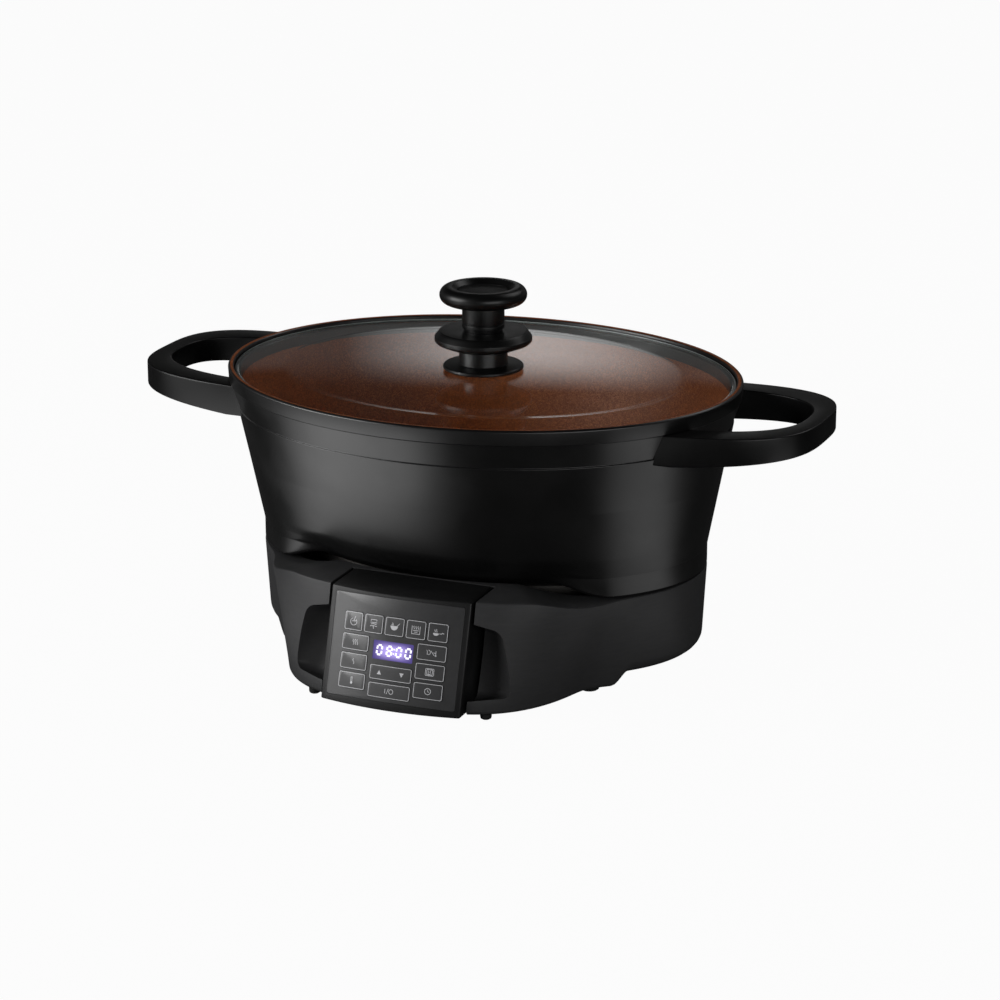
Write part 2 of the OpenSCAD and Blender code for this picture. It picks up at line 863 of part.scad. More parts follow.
// Keys: place across and up the face, width and height
row_v = 56.4;
row_pitch = 15.75;
row_w = 14.1;
row_h = 12.7;
side_u = 28.5;
side_v = [42.2, 29, 15.8];
side_w = 20.8;
side_h = 11;
mid_w = 31;
mid_h = 10;
arrows_v = 24.2;
power_v = 12;
KEYS = concat(
    [for (i = [-2 : 2]) [i * row_pitch, row_v, row_w, row_h]],
    [for (v = side_v) [-side_u, v, side_w, side_h]],
    [for (v = side_v) [side_u, v, side_w, side_h]],
    [[window_u, arrows_v, mid_w, mid_h], [window_u, power_v, mid_w, mid_h]]);
key_proud = 0.4;
key_flange = 0.6;
flange_front = plate_t_face + slip;
flange_back = flange_front + 1.4;
key_stem_r = 2;
switch_gap = 0.1;
module key(i) {
    k = KEYS[i];
    turn = k[0] / panel_r * 180 / PI;
    stem = (face_w(k[0]) - switch_top_w) / cos(turn) - flange_back - key_travel - switch_gap
        - key_stem_r * sin(abs(turn));
    color(key_grey)
    centred()
    in_panel()
    union() {
        intersection() {
            bowed_sheet(panel_r - flange_back, panel_r + key_proud, plate_w, plate_v, plate_v + plate_h);
            on_face(k[0], k[1])
            cube([k[2], k[3], 12], center = true);
        }
        intersection() {
            bowed_sheet(panel_r - flange_back, panel_r - flange_front, plate_w, plate_v,
                plate_v + plate_h);
            on_face(k[0], k[1])
            cube([k[2] + 2 * key_flange, k[3] + 2 * key_flange, 12], center = true);
        }
        on_face(k[0], k[1])
        translate([0, 0, -flange_back - stem])
        cylinder(h = stem + 0.5, r = key_stem_r, $fn = 24);
    }
}
module key_program_1() { key(0); }
module key_program_2() { key(1); }
module key_program_3() { key(2); }
module key_program_4() { key(3); }
module key_program_5() { key(4); }
module key_left_1() { key(5); }
module key_left_2() { key(6); }
module key_left_3() { key(7); }
module key_right_1() { key(8); }
module key_right_2() { key(9); }
module key_right_3() { key(10); }
module key_arrows() { key(11); }
module key_power() { key(12); }

// Pot: wall outline at the band under the lip, where the handles sit
band_taper = 5.6;
lip_low_z = rim_z - lip_h;
band_step = 0.8;
band_a = rim_a - 0.5 - band_step - band_taper;
band_b = rim_b - 0.5 - band_step - band_taper;
foot_gap = 1.6;
arch_x = 126;
arch_full_x = 82;
// Share of the open arch at the front and the rear of the foot ring
function arch_share(t) =
    ease((arch_x - abs(oval_r(t, foot_a, foot_b) * cos(t))) / (arch_x - arch_full_x));
function mix(p, q, s) = [lerp(p[0], q[0], s), lerp(p[1], q[1], s)];
ring_t = 4;
ring_roof_z = shoulder_z - 3;
ring_root = 10.5;
floor_top_z = pot_floor_z + pot_floor_t;
ring_top_z = 93;
body_low_z = 100;
body_mid_z = 137;
// Wall of the body between the band and the shoulder
function body_a(z) = lerp(foot_a, band_a + band_step, (z - shoulder_z) / (band_z - shoulder_z));
function body_b(z) = lerp(foot_b, band_b + band_step, (z - shoulder_z) / (band_z - shoulder_z));
function body_r(t, z) = oval_r(t, body_a(z), body_b(z));
// Outline drawn in from the shoulder by a lengthwise inset and a crosswise one
function foot_r_in(t, in_a, in_b) = oval_r(t, foot_a - in_a, foot_b - in_b);
// Round underside of an arch, as it climbs from the direction arch_q0 to arch_q1
arch_r = 48.3;
arch_q0 = 33;
arch_q1 = 57;
arch_steps = 6;
arch_low = 6.6;
arch_in_a = 16.5;
arch_in_b = 15.7;
arch_squeeze = 1.106;
function arch_point(t, q) =
    let (out = arch_r * (sin(q) - sin(arch_q0)),
        up = arch_r * (cos(arch_q0) - cos(q)))
    [foot_r_in(t, arch_in_a - out, arch_in_b - arch_squeeze * out), pot_floor_z + arch_low + up];
// Round corner between the pot's inner wall and its floor
corner_a = 57;
corner_b = 53;
corner_h = 30;
corner_step = 18;
low_wall_a = foot_a - 0.5;
low_wall_b = foot_b + 1.8;
function corner_point(t, q) =
    [oval_r(t, low_wall_a - corner_a * (1 - sin(q)), low_wall_b - corner_b * (1 - sin(q))),
    floor_top_z + corner_h * (1 - cos(q))];
ledge_w = 5;
pot_wall = 3.6;
edge_r = 1.2;
function pot_profile(t) =
    let (ring = foot_r_in(t, 0.2, 0.2),
        zr = base_top(t) + foot_gap,
        ring_points = [
            [foot_r_in(t, ring_root, ring_root), ring_roof_z],
            [ring - ring_t, ring_roof_z],
            [ring - ring_t, zr],
            [ring, zr],
            [ring, shoulder_z - 0.8],
            [foot_r_in(t, 0, 0), shoulder_z],
            [body_r(t, ring_top_z), ring_top_z]],
        inner_a = rim_a - rim_t,
        inner_b = rim_b - rim_t)
    concat(
        [[foot_r_in(t, 35.5, 33.2), pot_floor_z],
        [foot_r_in(t, 27.5, 25.2), pot_floor_z + 1.5],
        [foot_r_in(t, 19.5, 18.2), pot_floor_z + 5]],
        [for (j = [0 : arch_steps])
            mix(ring_points[j], arch_point(t, lerp(arch_q0, arch_q1, j / arch_steps)), arch_share(t))],
        [[body_r(t, body_low_z), body_low_z],
        [body_r(t, body_mid_z), body_mid_z],
        [body_r(t, band_z), band_z - band_step],
        [oval_r(t, band_a, band_b), band_z],
        [oval_r(t, band_a + band_taper, band_b + band_taper), lip_low_z - band_step],
        [oval_r(t, rim_a - 0.5, rim_b - 0.5), lip_low_z],
        [oval_r(t, rim_a, rim_b), rim_z - edge_r],
        [oval_r(t, rim_a - edge_r, rim_b - edge_r), rim_z],
        [oval_r(t, inner_a + 0.8, inner_b + 0.8), rim_z],
        [oval_r(t, inner_a, inner_b), rim_z - 1],
        [oval_r(t, inner_a, inner_b), rim_z - lid_step],
        [oval_r(t, inner_a - ledge_w, inner_b - ledge_w), rim_z - lid_step - 0.3],
        [oval_r(t, band_a - pot_wall, band_b - pot_wall), band_z - 1]],
        [for (q = [90 : -corner_step : 0]) corner_point(t, q)]);
module pot_body() {
    color(satin_black)
    centred()
    dish_loft([for (i = [0 : pot_steps - 1])
        let (t = 360 * i / pot_steps)
        [for (p = pot_profile(t)) spot(t, p)]],
        [0, 0, pot_floor_z], [0, 0, floor_top_z]);
}
// Solid form of the pot's wall beside the handles
envelope_low_z = 160;
function envelope_profile(t, gap) = [
    [oval_r(t, body_a(envelope_low_z) + gap, body_b(envelope_low_z) + gap), envelope_low_z],
    [oval_r(t, body_a(band_z) + gap, body_b(band_z) + gap), band_z - band_step],
    [oval_r(t, band_a + gap, band_b + gap), band_z],
    [oval_r(t, band_a + band_taper + gap, band_b + band_taper + gap), lip_low_z - band_step],
    [oval_r(t, rim_a + gap, rim_b + gap), lip_low_z],
    [oval_r(t, rim_a + gap, rim_b + gap), rim_z]];
module pot_envelope(gap) {
    dish_loft([for (i = [0 : pot_steps - 1])
        let (t = 360 * i / pot_steps)
        [for (p = envelope_profile(t, gap)) spot(t, p)]],
        [0, 0, envelope_low_z], [0, 0, rim_z]);
}

// Handles: flat loops with square-rounded outlines
handle_x = 150;
outer_n = 3;
inner_n = 2.6;
handle_gap = 0.1;
handle_stud_r = 3;
handle_stud_l = 12;
handle_stud_y = 60;
handle_stud_z = handle_top_z - handle_h / 2;
function bent(c, n) = sign(c) * pow(abs(c), 2 / n);
function loop_outline(len, half_w, n) = [for (i = [0 : handle_steps])
    let (q = -90 + 180 * i / handle_steps)
    [handle_x + len * bent(cos(q), n), half_w * bent(sin(q), n)]];
module loop_shape() {
    difference() {
        union() {
            polygon(loop_outline(handle_reach - handle_x, handle_w, outer_n));
            translate([handle_x - 20, -handle_w])
            square([20.1, 2 * handle_w]);
        }
        polygon(loop_outline(handle_reach - bar_end_w - handle_x, handle_w - bar_arm_w, inner_n));
        translate([handle_x - 30, bar_arm_w - handle_w])
        square([30.1, 2 * (handle_w - bar_arm_w)]);
    }
}
handle_len = handle_reach - 168;
module handle_stud_places() {
    taper = band_taper * (handle_stud_z - band_z) / (lip_low_z - band_step - band_z);
    a = band_a + taper;
    b = band_b + taper;
    for (s = [-1, 1]) {
        y = s * handle_stud_y;
        x = a * sqrt(1 - pow(handle_stud_y / b, 2));
        translate([x, y, handle_stud_z])
        rotate([0, 0, atan2(y / (b * b), x / (a * a))])
        rotate([0, 90 + atan(band_taper / (lip_low_z - band_step - band_z)), 0])
        children();
    }
}
module pot_handle() {
    color(satin_black)
    centred()
    difference() {
        translate([0, 0, handle_top_z - handle_h])
        linear_extrude(handle_h + handle_rise)
        loop_shape();
        translate([168, -150, handle_top_z])
        rotate([0, -atan(handle_rise / handle_len), 0])
        translate([-100, 0, 0])
        cube([300, 300, 40]);
        translate([168, -150, handle_top_z - handle_h])
        rotate([0, -atan(handle_under_rise / handle_len), 0])
        translate([0, 0, -60])
        cube([200, 300, 60]);
        pot_envelope(handle_gap);
        handle_stud_places()
        cylinder(h = handle_stud_l + 1, r = handle_stud_r + 0.05, $fn = 32);
    }
}
module pot_handle_right() {
    pot_handle();
}
module pot_handle_left() {
    mirror([1, 0, 0])
    pot_handle();
}
module handle_studs() {
    color(steel)
    centred()
    for (m = [0, 1])
        mirror([m, 0, 0])
        handle_stud_places()
        translate([0, 0, handle_gap])
        cylinder(h = handle_stud_l, r = handle_stud_r, $fn = 32);
}

// Lid: a shallow oval dome of glass with a turned knob on its middle
lid_gap = 0.6;
lid_a = rim_a - rim_t - lid_gap;
lid_b = rim_b - rim_t - lid_gap;
lid_low_z = rim_z - lid_step + slip;
dome_share = 0.8;
dome_steps = 5;
border_rise = 0.7 * dome_rise;
glass_edge = 0.8;
// Height of the dome over the glass edge, at a share f of the way out;
// outside the dome a border falls straight to the edge
function dome_z(f) = border_rise + (dome_rise - border_rise) * (1 - pow(f / dome_share, 2));
function lid_profile(t) =
    let (edge = oval_r(t, lid_a, lid_b),
        shares = [for (i = [1 : dome_steps]) dome_share * i / dome_steps],
        high_z = lid_low_z + glass_t)
    concat(
        [for (f = shares) [f * edge, lid_low_z + dome_z(f)]],
        [[edge - glass_edge, lid_low_z],
        [edge, lid_low_z + glass_edge],
        [edge, high_z - glass_edge],
        [edge - glass_edge, high_z]],
        [for (i = [dome_steps - 1 : -1 : 0]) [shares[i] * edge, high_z + dome_z(shares[i])]]);
knob_z = lid_low_z + glass_t + dome_rise;
seal_t = 0.8;
seal_r = 24;
knob_bore_r = 2.6;
glass_hole_r = knob_bore_r + 1;
screw_r = 2.5;
knob_foot_h = 15.4;
guard_z = knob_z + seal_t + knob_foot_h;
stem_z = guard_z + guard_h;
cap_z = stem_z + stem_h;
module lid_glass() {
    color([0.75, 0.85, 0.85, 0.35])
    centred()
    difference() {
        dish_loft([for (i = [0 : oval_steps - 1])
            let (t = 360 * i / oval_steps)
            [for (p = lid_profile(t)) spot(t, p)]],
            [0, 0, lid_low_z + dome_rise], [0, 0, lid_low_z + glass_t + dome_rise]);
        cylinder(h = 2 * rim_z, r = glass_hole_r);
    }
}
module knob_seal() {
    color([0.2, 0.2, 0.2])
    centred()
    translate([0, 0, knob_z])
    difference() {
        cylinder(h = seal_t, r = seal_r);
        cylinder(h = 3 * seal_t, r = knob_bore_r, center = true);
    }
}
module knob_foot() {
    z0 = knob_z + seal_t;
    color(matte_black)
    centred()
    rotate_extrude($fn = 96)
    polygon([[knob_bore_r, z0], [knob_foot_r - 0.6, z0], [knob_foot_r, z0 + 0.6],
        [knob_foot_r, z0 + 2], [knob_foot_r - 0.8, z0 + 2.8], [17.8, z0 + 3.4],
        [17.2, z0 + 4], [17.2, guard_z], [knob_bore_r, guard_z]]);
}
module knob_guard() {
    color(matte_black)
    centred()
    translate([0, 0, guard_z])
    rotate_extrude($fn = 96)
    polygon([[knob_bore_r, 0], [guard_r - 10, 0], [guard_r - 1.2, 3.6], [guard_r, 4.8],
        [guard_r, 7.6], [guard_r - 0.6, 8.2], [guard_r - 3, guard_h - 0.6],
        [guard_r - 3.6, guard_h - 0.6], [guard_r - 4.2, guard_h], [knob_bore_r, guard_h]]);
}
module knob_stem() {
    color(matte_black)
    centred()
    translate([0, 0, stem_z])
    rotate_extrude($fn = 96)
    polygon([[knob_bore_r, 0], [stem_r - 1.5, 0], [stem_r - 1.5, 2], [stem_r, 2.3],
        [stem_r, 5.2], [stem_r - 0.6, 5.5], [stem_r - 0.6, 6], [stem_r, 6.3],
        [stem_r, stem_h], [knob_bore_r, stem_h]]);
}
dish_r = 19;
dish_depth = knob_cap_h / 4;
inlay_t = 1.6;
module knob_cap() {
    round_r = knob_cap_h / 2;
    color(matte_black)
    centred()
    translate([0, 0, cap_z])
    difference() {
        rotate_extrude($fn = 96)
        union() {
            square([knob_r - round_r, knob_cap_h]);
            intersection() {
                translate([knob_r - round_r, round_r])
                circle(r = round_r, $fn = 64);
                square([knob_r + 10, knob_cap_h]);
            }
        }
        translate([0, 0, knob_cap_h - dish_depth])
        cylinder(h = 10, r1 = dish_r, r2 = dish_r + 10);
        translate([0, 0, knob_cap_h - dish_depth - inlay_t])
        cylinder(h = 10, r = dish_r - 1.2);
        translate([0, 0, -1])
        cylinder(h = 7, r = knob_bore_r);
    }
}
module knob_inlay() {
    color(satin_black)
    centred()
    translate([0, 0, cap_z + knob_cap_h - dish_depth - inlay_t])
    cylinder(h = inlay_t, r = dish_r - 1.3);
}
washer_t = 1.5;
washer_r = 9;
washer_gap = 0.06;
washer_z = knob_z - glass_t - washer_t - washer_gap;
module knob_washer() {
    color(steel)
    centred()
    translate([0, 0, washer_z])
    difference() {
        cylinder(h = washer_t, r = washer_r);
        cylinder(h = 3 * washer_t, r = knob_bore_r, center = true);
    }
}
screw_head_r = 5;
screw_head_h = 3;
screw_in_cap = 5;
module knob_screw() {
    color(steel)
    centred()
    translate([0, 0, washer_z]) {
        cylinder(h = cap_z + screw_in_cap - washer_z, r = screw_r, $fn = 48);
        translate([0, 0, -screw_head_h])
        cylinder(h = screw_head_h, r = screw_head_r, $fn = 48);
    }
}

base_housing();
bottom_cover();
main_feet();
front_feet();
cover_screws();
heat_shield();
hot_plate();
heating_element();
plate_studs();
thermal_fuse();
sensor_cap();
sensor_spring();
sensor_guide();
power_board();
board_spacers();
relay();
filter_capacitor();
terminal_block();
supply_wires();
element_wires();
cord_gland();
panel_housing();
panel_plate();
display_window();
display_module();
control_board();
panel_screws();
key_program_1();
key_program_2();
key_program_3();
key_program_4();
key_program_5();
key_left_1();
key_left_2();
key_left_3();
key_right_1();
key_right_2();
key_right_3();
key_arrows();
key_power();
pot_body();
pot_handle_left();
pot_handle_right();
handle_studs();
lid_glass();
knob_foot();
knob_guard();
knob_stem();
knob_cap();
knob_inlay();
knob_seal();
knob_washer();
knob_screw();
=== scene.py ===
# %% [markdown]
# # Dressing an oval multicooker
#
# The imported CAD model already holds every solid of this cooker, in metres and in its right place. What it
# lacks is roundness, finish and light. In this lesson each visible solid gets a smooth mesh built from the
# same dimensions, a procedural finish and a place in a small photo studio. Everything is first loaded as a
# fixed frame, and its box is kept.

# %% Load the frame
import json
import math

import bmesh
import bpy
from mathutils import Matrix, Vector

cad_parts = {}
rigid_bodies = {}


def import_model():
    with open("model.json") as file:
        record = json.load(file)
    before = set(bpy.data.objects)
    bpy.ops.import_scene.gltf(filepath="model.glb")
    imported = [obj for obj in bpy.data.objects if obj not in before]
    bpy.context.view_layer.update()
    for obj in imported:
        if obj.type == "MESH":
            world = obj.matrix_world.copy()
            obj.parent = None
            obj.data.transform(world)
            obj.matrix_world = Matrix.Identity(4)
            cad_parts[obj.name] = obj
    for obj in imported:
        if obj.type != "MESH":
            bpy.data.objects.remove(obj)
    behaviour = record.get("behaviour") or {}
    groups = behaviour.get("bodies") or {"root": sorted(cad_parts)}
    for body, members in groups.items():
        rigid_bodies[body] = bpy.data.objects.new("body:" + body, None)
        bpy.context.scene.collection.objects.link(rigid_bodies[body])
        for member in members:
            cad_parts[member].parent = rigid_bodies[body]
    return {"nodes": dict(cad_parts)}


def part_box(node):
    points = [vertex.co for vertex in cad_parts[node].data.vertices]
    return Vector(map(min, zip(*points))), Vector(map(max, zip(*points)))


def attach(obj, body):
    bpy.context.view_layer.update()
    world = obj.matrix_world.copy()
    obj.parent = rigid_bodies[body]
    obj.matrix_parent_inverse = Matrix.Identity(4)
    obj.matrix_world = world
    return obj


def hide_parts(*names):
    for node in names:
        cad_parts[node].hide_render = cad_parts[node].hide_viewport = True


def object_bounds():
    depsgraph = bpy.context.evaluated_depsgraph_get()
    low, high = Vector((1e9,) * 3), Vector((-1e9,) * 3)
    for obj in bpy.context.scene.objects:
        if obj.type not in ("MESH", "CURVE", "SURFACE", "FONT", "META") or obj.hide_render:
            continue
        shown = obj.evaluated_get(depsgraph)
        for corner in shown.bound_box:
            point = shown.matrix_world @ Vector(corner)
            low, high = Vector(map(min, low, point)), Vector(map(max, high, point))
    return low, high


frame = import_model()
cad_low, cad_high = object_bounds()
print("CAD box:", [round(side, 4) for side in cad_high - cad_low], "m")

# %% [markdown]
# ## The camera
#
# A product shot is taken with a long lens from some way off, so that upright edges stay upright. The place
# is given as an azimuth, an elevation and a distance, which are easier to reason about than coordinates.
# Azimuth 0 looks straight at the key panel. The pot's own axis is read from the knob, which is centred on it.

# %% Camera
MM = 0.001
scene = bpy.context.scene
knob_low, knob_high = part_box("knob_cap")
pot_axis_y = (knob_low.y + knob_high.y) / 2


def direction(azimuth, elevation):
    """Unit vector from the cooker to a place round it, from two angles in degrees."""
    a, e = math.radians(azimuth), math.radians(elevation)
    return Vector((math.sin(a) * math.cos(e), -math.cos(a) * math.cos(e), math.sin(e)))


view_azimuth = 22.628
view_elevation = 17.623
view_distance = 2.33404
view_target = Vector((0.01275, pot_axis_y, 0.10593))
camera_data = bpy.data.cameras.new("portrait_camera")
camera_data.sensor_fit = "HORIZONTAL"
camera_data.sensor_width = 36
camera_data.lens = 117.27
camera = bpy.data.objects.new("portrait_camera", camera_data)
scene.collection.objects.link(camera)
camera.location = view_target + view_distance * direction(view_azimuth, view_elevation)
camera.rotation_euler = (view_target - camera.location).to_track_quat("-Z", "Y").to_euler()
scene.camera = camera
print("camera at", [round(c, 3) for c in camera.location])

# %% [markdown]
# ## The studio
#
# Black plastic shows little colour of its own: what one sees on it is the studio. The ceiling is dark, so the
# top faces stay black. A white card hangs low behind the cooker and shows in the lid, and dimmer walls stand
# all round. One could build card and walls of planes, but a few nodes on the look direction of the world are
# easier to tune. Camera rays see plain white; glossy and transmitted rays see the white card, and all rays see
# the walls. Node trees take many lines of code, so four small helpers come first.

# %% Node helpers
def add_node(tree, kind, sockets=None, **settings):
    """Adds a shader node, sets its options, then sets or links its input sockets."""
    node = tree.nodes.new("ShaderNode" + kind)
    for option, value in settings.items():
        setattr(node, option, value)
    for socket, value in (sockets or {}).items():
        if isinstance(value, bpy.types.NodeSocket):
            tree.links.new(value, node.inputs[socket])
        else:
            node.inputs[socket].default_value = value
    return node


def ramp(tree, value, start, end, low=0.0, high=1.0):
    """Eased value that goes from low at start to high at end."""
    sockets = {"Value": value, "From Min": start, "From Max": end, "To Min": low, "To Max": high}
    return add_node(tree, "MapRange", sockets, interpolation_type="SMOOTHSTEP").outputs["Result"]


def calc(tree, operation, *values):
    """One Math node, with its values in order."""
    return add_node(tree, "Math", dict(enumerate(values)), operation=operation).outputs["Value"]


def vector_calc(tree, operation, *vectors):
    """One Vector Math node; a length and a dot product give a number, the rest a vector."""
    node = add_node(tree, "VectorMath", dict(enumerate(vectors)), operation=operation)
    return node.outputs["Value" if operation in ("LENGTH", "DOT_PRODUCT") else "Vector"]


print("node helpers made")

# %% World
ceiling_light = 0.01
wall_light = 0.06
card_light = 0.76
card_middle, card_half = 0.01, 0.076
card_angles = (8.5, 10.5, 14.4, 16.6)
card_foot, card_low, card_top, card_fade = (math.sin(math.radians(angle)) for angle in card_angles)
rear_start, rear_full = 0.2, 0.9
world = bpy.data.worlds.new("studio")
scene.world = world
world.use_nodes = True
studio = world.node_tree
studio.nodes.clear()
look = add_node(studio, "TexCoord").outputs["Generated"]
look_up = add_node(studio, "SeparateXYZ", {"Vector": look}).outputs["Z"]


def share_of_look(azimuth):
    """How far the look direction goes towards an azimuth."""
    return vector_calc(studio, "DOT_PRODUCT", look, direction(azimuth, 0))


behind = share_of_look(view_azimuth + 180)
aside = calc(studio, "ABSOLUTE", calc(studio, "SUBTRACT", share_of_look(view_azimuth + 90), card_middle))
card = ramp(studio, aside, card_half, 0, 0, card_light)
rear_share = ramp(studio, behind, rear_start, rear_full)
studio_rays = add_node(studio, "LightPath").outputs
mirror_ray = calc(studio, "MAXIMUM", studio_rays["Is Glossy Ray"], studio_rays["Is Transmission Ray"])
below_top = ramp(studio, look_up, card_fade, card_top)
card_height = calc(studio, "MULTIPLY", below_top, ramp(studio, look_up, card_foot, card_low))
card_shape = calc(studio, "MULTIPLY", calc(studio, "MULTIPLY", rear_share, card), card_height)
card_seen = calc(studio, "MULTIPLY", mirror_ray, card_shape)
studio_light = calc(studio, "ADD", calc(studio, "MULTIPLY", below_top, wall_light), ceiling_light)
white_seen = calc(studio, "MAXIMUM", studio_rays["Is Camera Ray"], card_seen)
brightness = calc(studio, "MAXIMUM", studio_light, white_seen)
sky = add_node(studio, "Background", {"Color": (1, 1, 1, 1), "Strength": brightness})
add_node(studio, "OutputWorld", {"Surface": sky.outputs["Background"]})
scene.view_settings.view_transform = "Standard"
print("world: ceiling", ceiling_light, "card", card_light)

# %% [markdown]
# ## The lamps
#
# Softboxes give the broad, soft-edged highlights of a catalogue picture. A sun lamp would be simpler, but its
# highlight on satin plastic is a small hard spot. Each area lamp here gets an even radiance, so a bigger box
# gives more light, as a real one does. The camera doesn't see the lamps themselves.

# %% Softboxes
cooker_middle = (cad_low + cad_high) / 2


def softbox(name, azimuth, elevation, distance, width, height, radiance):
    """A rectangular area lamp of an even radiance, turned to the cooker."""
    lamp = bpy.data.lights.new(name, "AREA")
    lamp.shape = "RECTANGLE"
    lamp.size = width
    lamp.size_y = height
    lamp.energy = radiance * math.pi * width * height
    box = bpy.data.objects.new(name, lamp)
    scene.collection.objects.link(box)
    box.location = cooker_middle + distance * direction(azimuth, elevation)
    box.rotation_euler = (cooker_middle - box.location).to_track_quat("-Z", "Y").to_euler()
    box.visible_camera = False


softbox("key_softbox", azimuth=-53, elevation=19, distance=1.8, width=1.2, height=0.9, radiance=5.0)
softbox("rear_softbox", azimuth=150, elevation=45, distance=2.0, width=1.2, height=0.8, radiance=1.2)
softbox("right_softbox", azimuth=48, elevation=11, distance=2.0, width=1.7, height=0.7, radiance=1.9)
print("softboxes:", [lamp.name for lamp in bpy.data.lights])

# %% [markdown]
# ## The floor
#
# The floor is plain white paper to the camera and through the glass. The leaning wall of the pot is a dim
# mirror of the floor, and in a real studio the paper is not evenly lit: it is bright in front of the lamps at
# the left and right and falls into shade near the cooker. Glossy rays see that pattern. More lamps could light
# real paper so, but they would light the cooker too, so the paper's material does it with Light Path.

# %% Floor
floor_half = 6.0
floor_white_share = 0.965
floor_shade = 0.02
paper_grey = (0.55, 0.55, 0.55, 1)
floor_mesh = bpy.data.meshes.new("studio_floor")
floor_corners = [(x * floor_half, y * floor_half, 0) for x, y in ((-1, -1), (1, -1), (1, 1), (-1, 1))]
floor_mesh.from_pydata(floor_corners, [], [(0, 1, 2, 3)])
floor_paper = bpy.data.materials.new("floor_paper")
floor_paper.use_nodes = True
floor_paper.cycles.emission_sampling = "NONE"
paper = floor_paper.node_tree
paper_shader = paper.nodes["Principled BSDF"]
paper_shader.inputs["Base Color"].default_value = paper_grey
paper_shader.inputs["Roughness"].default_value = 0.9
floor_mesh.materials.append(floor_paper)
floor = bpy.data.objects.new("studio_floor", floor_mesh)
scene.collection.objects.link(floor)
print("floor:", 2 * floor_half, "m square")

# %% Light on the floor
pool_start, pool_full, pool_fade, pool_end = 0.16, 0.3, 0.55, 0.95
pool_far_share = 0.3
paper_spot = add_node(paper, "TexCoord").outputs["Object"]
paper_place = vector_calc(paper, "SUBTRACT", paper_spot, (0, pot_axis_y, 0))
paper_reach = vector_calc(paper, "LENGTH", paper_place)
paper_way = vector_calc(paper, "NORMALIZE", paper_place)


def light_pool(azimuth, outer, inner, level):
    """Light on the paper round an azimuth, full within one angle and gone beyond another."""
    share = vector_calc(paper, "DOT_PRODUCT", paper_way, direction(azimuth, 0))
    return ramp(paper, share, math.cos(math.radians(outer)), math.cos(math.radians(inner)), 0, level)


left_pool = light_pool(azimuth=-38, outer=40, inner=2, level=1.4)
right_pool = light_pool(azimuth=78, outer=22, inner=2, level=0.6)
pools = calc(paper, "ADD", left_pool, right_pool)
pool_near = ramp(paper, paper_reach, pool_start, pool_full)
pool_far = ramp(paper, paper_reach, pool_end, pool_fade, pool_far_share)
pools_away = calc(paper, "MULTIPLY", pools, calc(paper, "MULTIPLY", pool_near, pool_far))
mirrored_light = calc(paper, "ADD", pools_away, floor_shade)
paper_rays = add_node(paper, "LightPath").outputs
paper_seen = calc(paper, "MAXIMUM", paper_rays["Is Camera Ray"], paper_rays["Is Transmission Ray"])
paper_white = calc(paper, "MULTIPLY", paper_seen, floor_white_share)
paper_share = calc(paper, "MAXIMUM", paper_white, paper_rays["Is Glossy Ray"])
paper_mirrored = calc(paper, "MULTIPLY", paper_rays["Is Glossy Ray"], mirrored_light)
paper_light = calc(paper, "MAXIMUM", paper_seen, paper_mirrored)
paper_glow = add_node(paper, "Emission", {"Color": (1, 1, 1, 1), "Strength": paper_light}).outputs["Emission"]
paper_mix = add_node(paper, "MixShader", {0: paper_share, 1: paper_shader.outputs["BSDF"], 2: paper_glow})
paper.links.new(paper_mix.outputs["Shader"], paper.nodes["Material Output"].inputs["Surface"])
print("floor paper:", len(paper.nodes), "nodes")

# %% [markdown]
# ## Effects that several finishes share
#
# Moulded plastic has a fine spark-eroded grain, hands leave patches that are smoother or duller, and edges
# are painted a shade lighter, partly as rubbed wear and partly as a painted highlight where they catch light.
# Each of these is a node group with named sockets, built once and
# placed in a material with its own values. They work on object coordinates, so no unwrapping is needed, and
# every piece has its origin at the cooker's origin, so the grain has one scale everywhere.

# %% Group helpers
FLOAT = "NodeSocketFloat"
COLOUR = "NodeSocketColor"


def new_group(name, inputs, outputs):
    """A shader node group; inputs maps a socket to its default, outputs maps one to its kind."""
    group = bpy.data.node_groups.new(name, "ShaderNodeTree")
    for label, default in inputs.items():
        kind = COLOUR if isinstance(default, tuple) else FLOAT
        group.interface.new_socket(label, in_out="INPUT", socket_type=kind).default_value = default
    for label, kind in outputs.items():
        group.interface.new_socket(label, in_out="OUTPUT", socket_type=kind)
    entry = group.nodes.new("NodeGroupInput")
    result = group.nodes.new("NodeGroupOutput")
    return group, entry.outputs, result.inputs


def noise(tree, vector, scale, detail=2.0):
    """Value of a noise texture."""
    sockets = {"Vector": vector, "Scale": scale, "Detail": detail}
    return add_node(tree, "TexNoise", sockets).outputs[0]


def mixed(tree, share, first, second):
    """Colour between two colours."""
    node = add_node(tree, "Mix", {0: share, 6: first, 7: second}, data_type="RGBA")
    return node.outputs[2]


def object_place(tree):
    """Where a point is on its piece, in metres."""
    return add_node(tree, "TexCoord").outputs["Object"]


print("group helpers made")
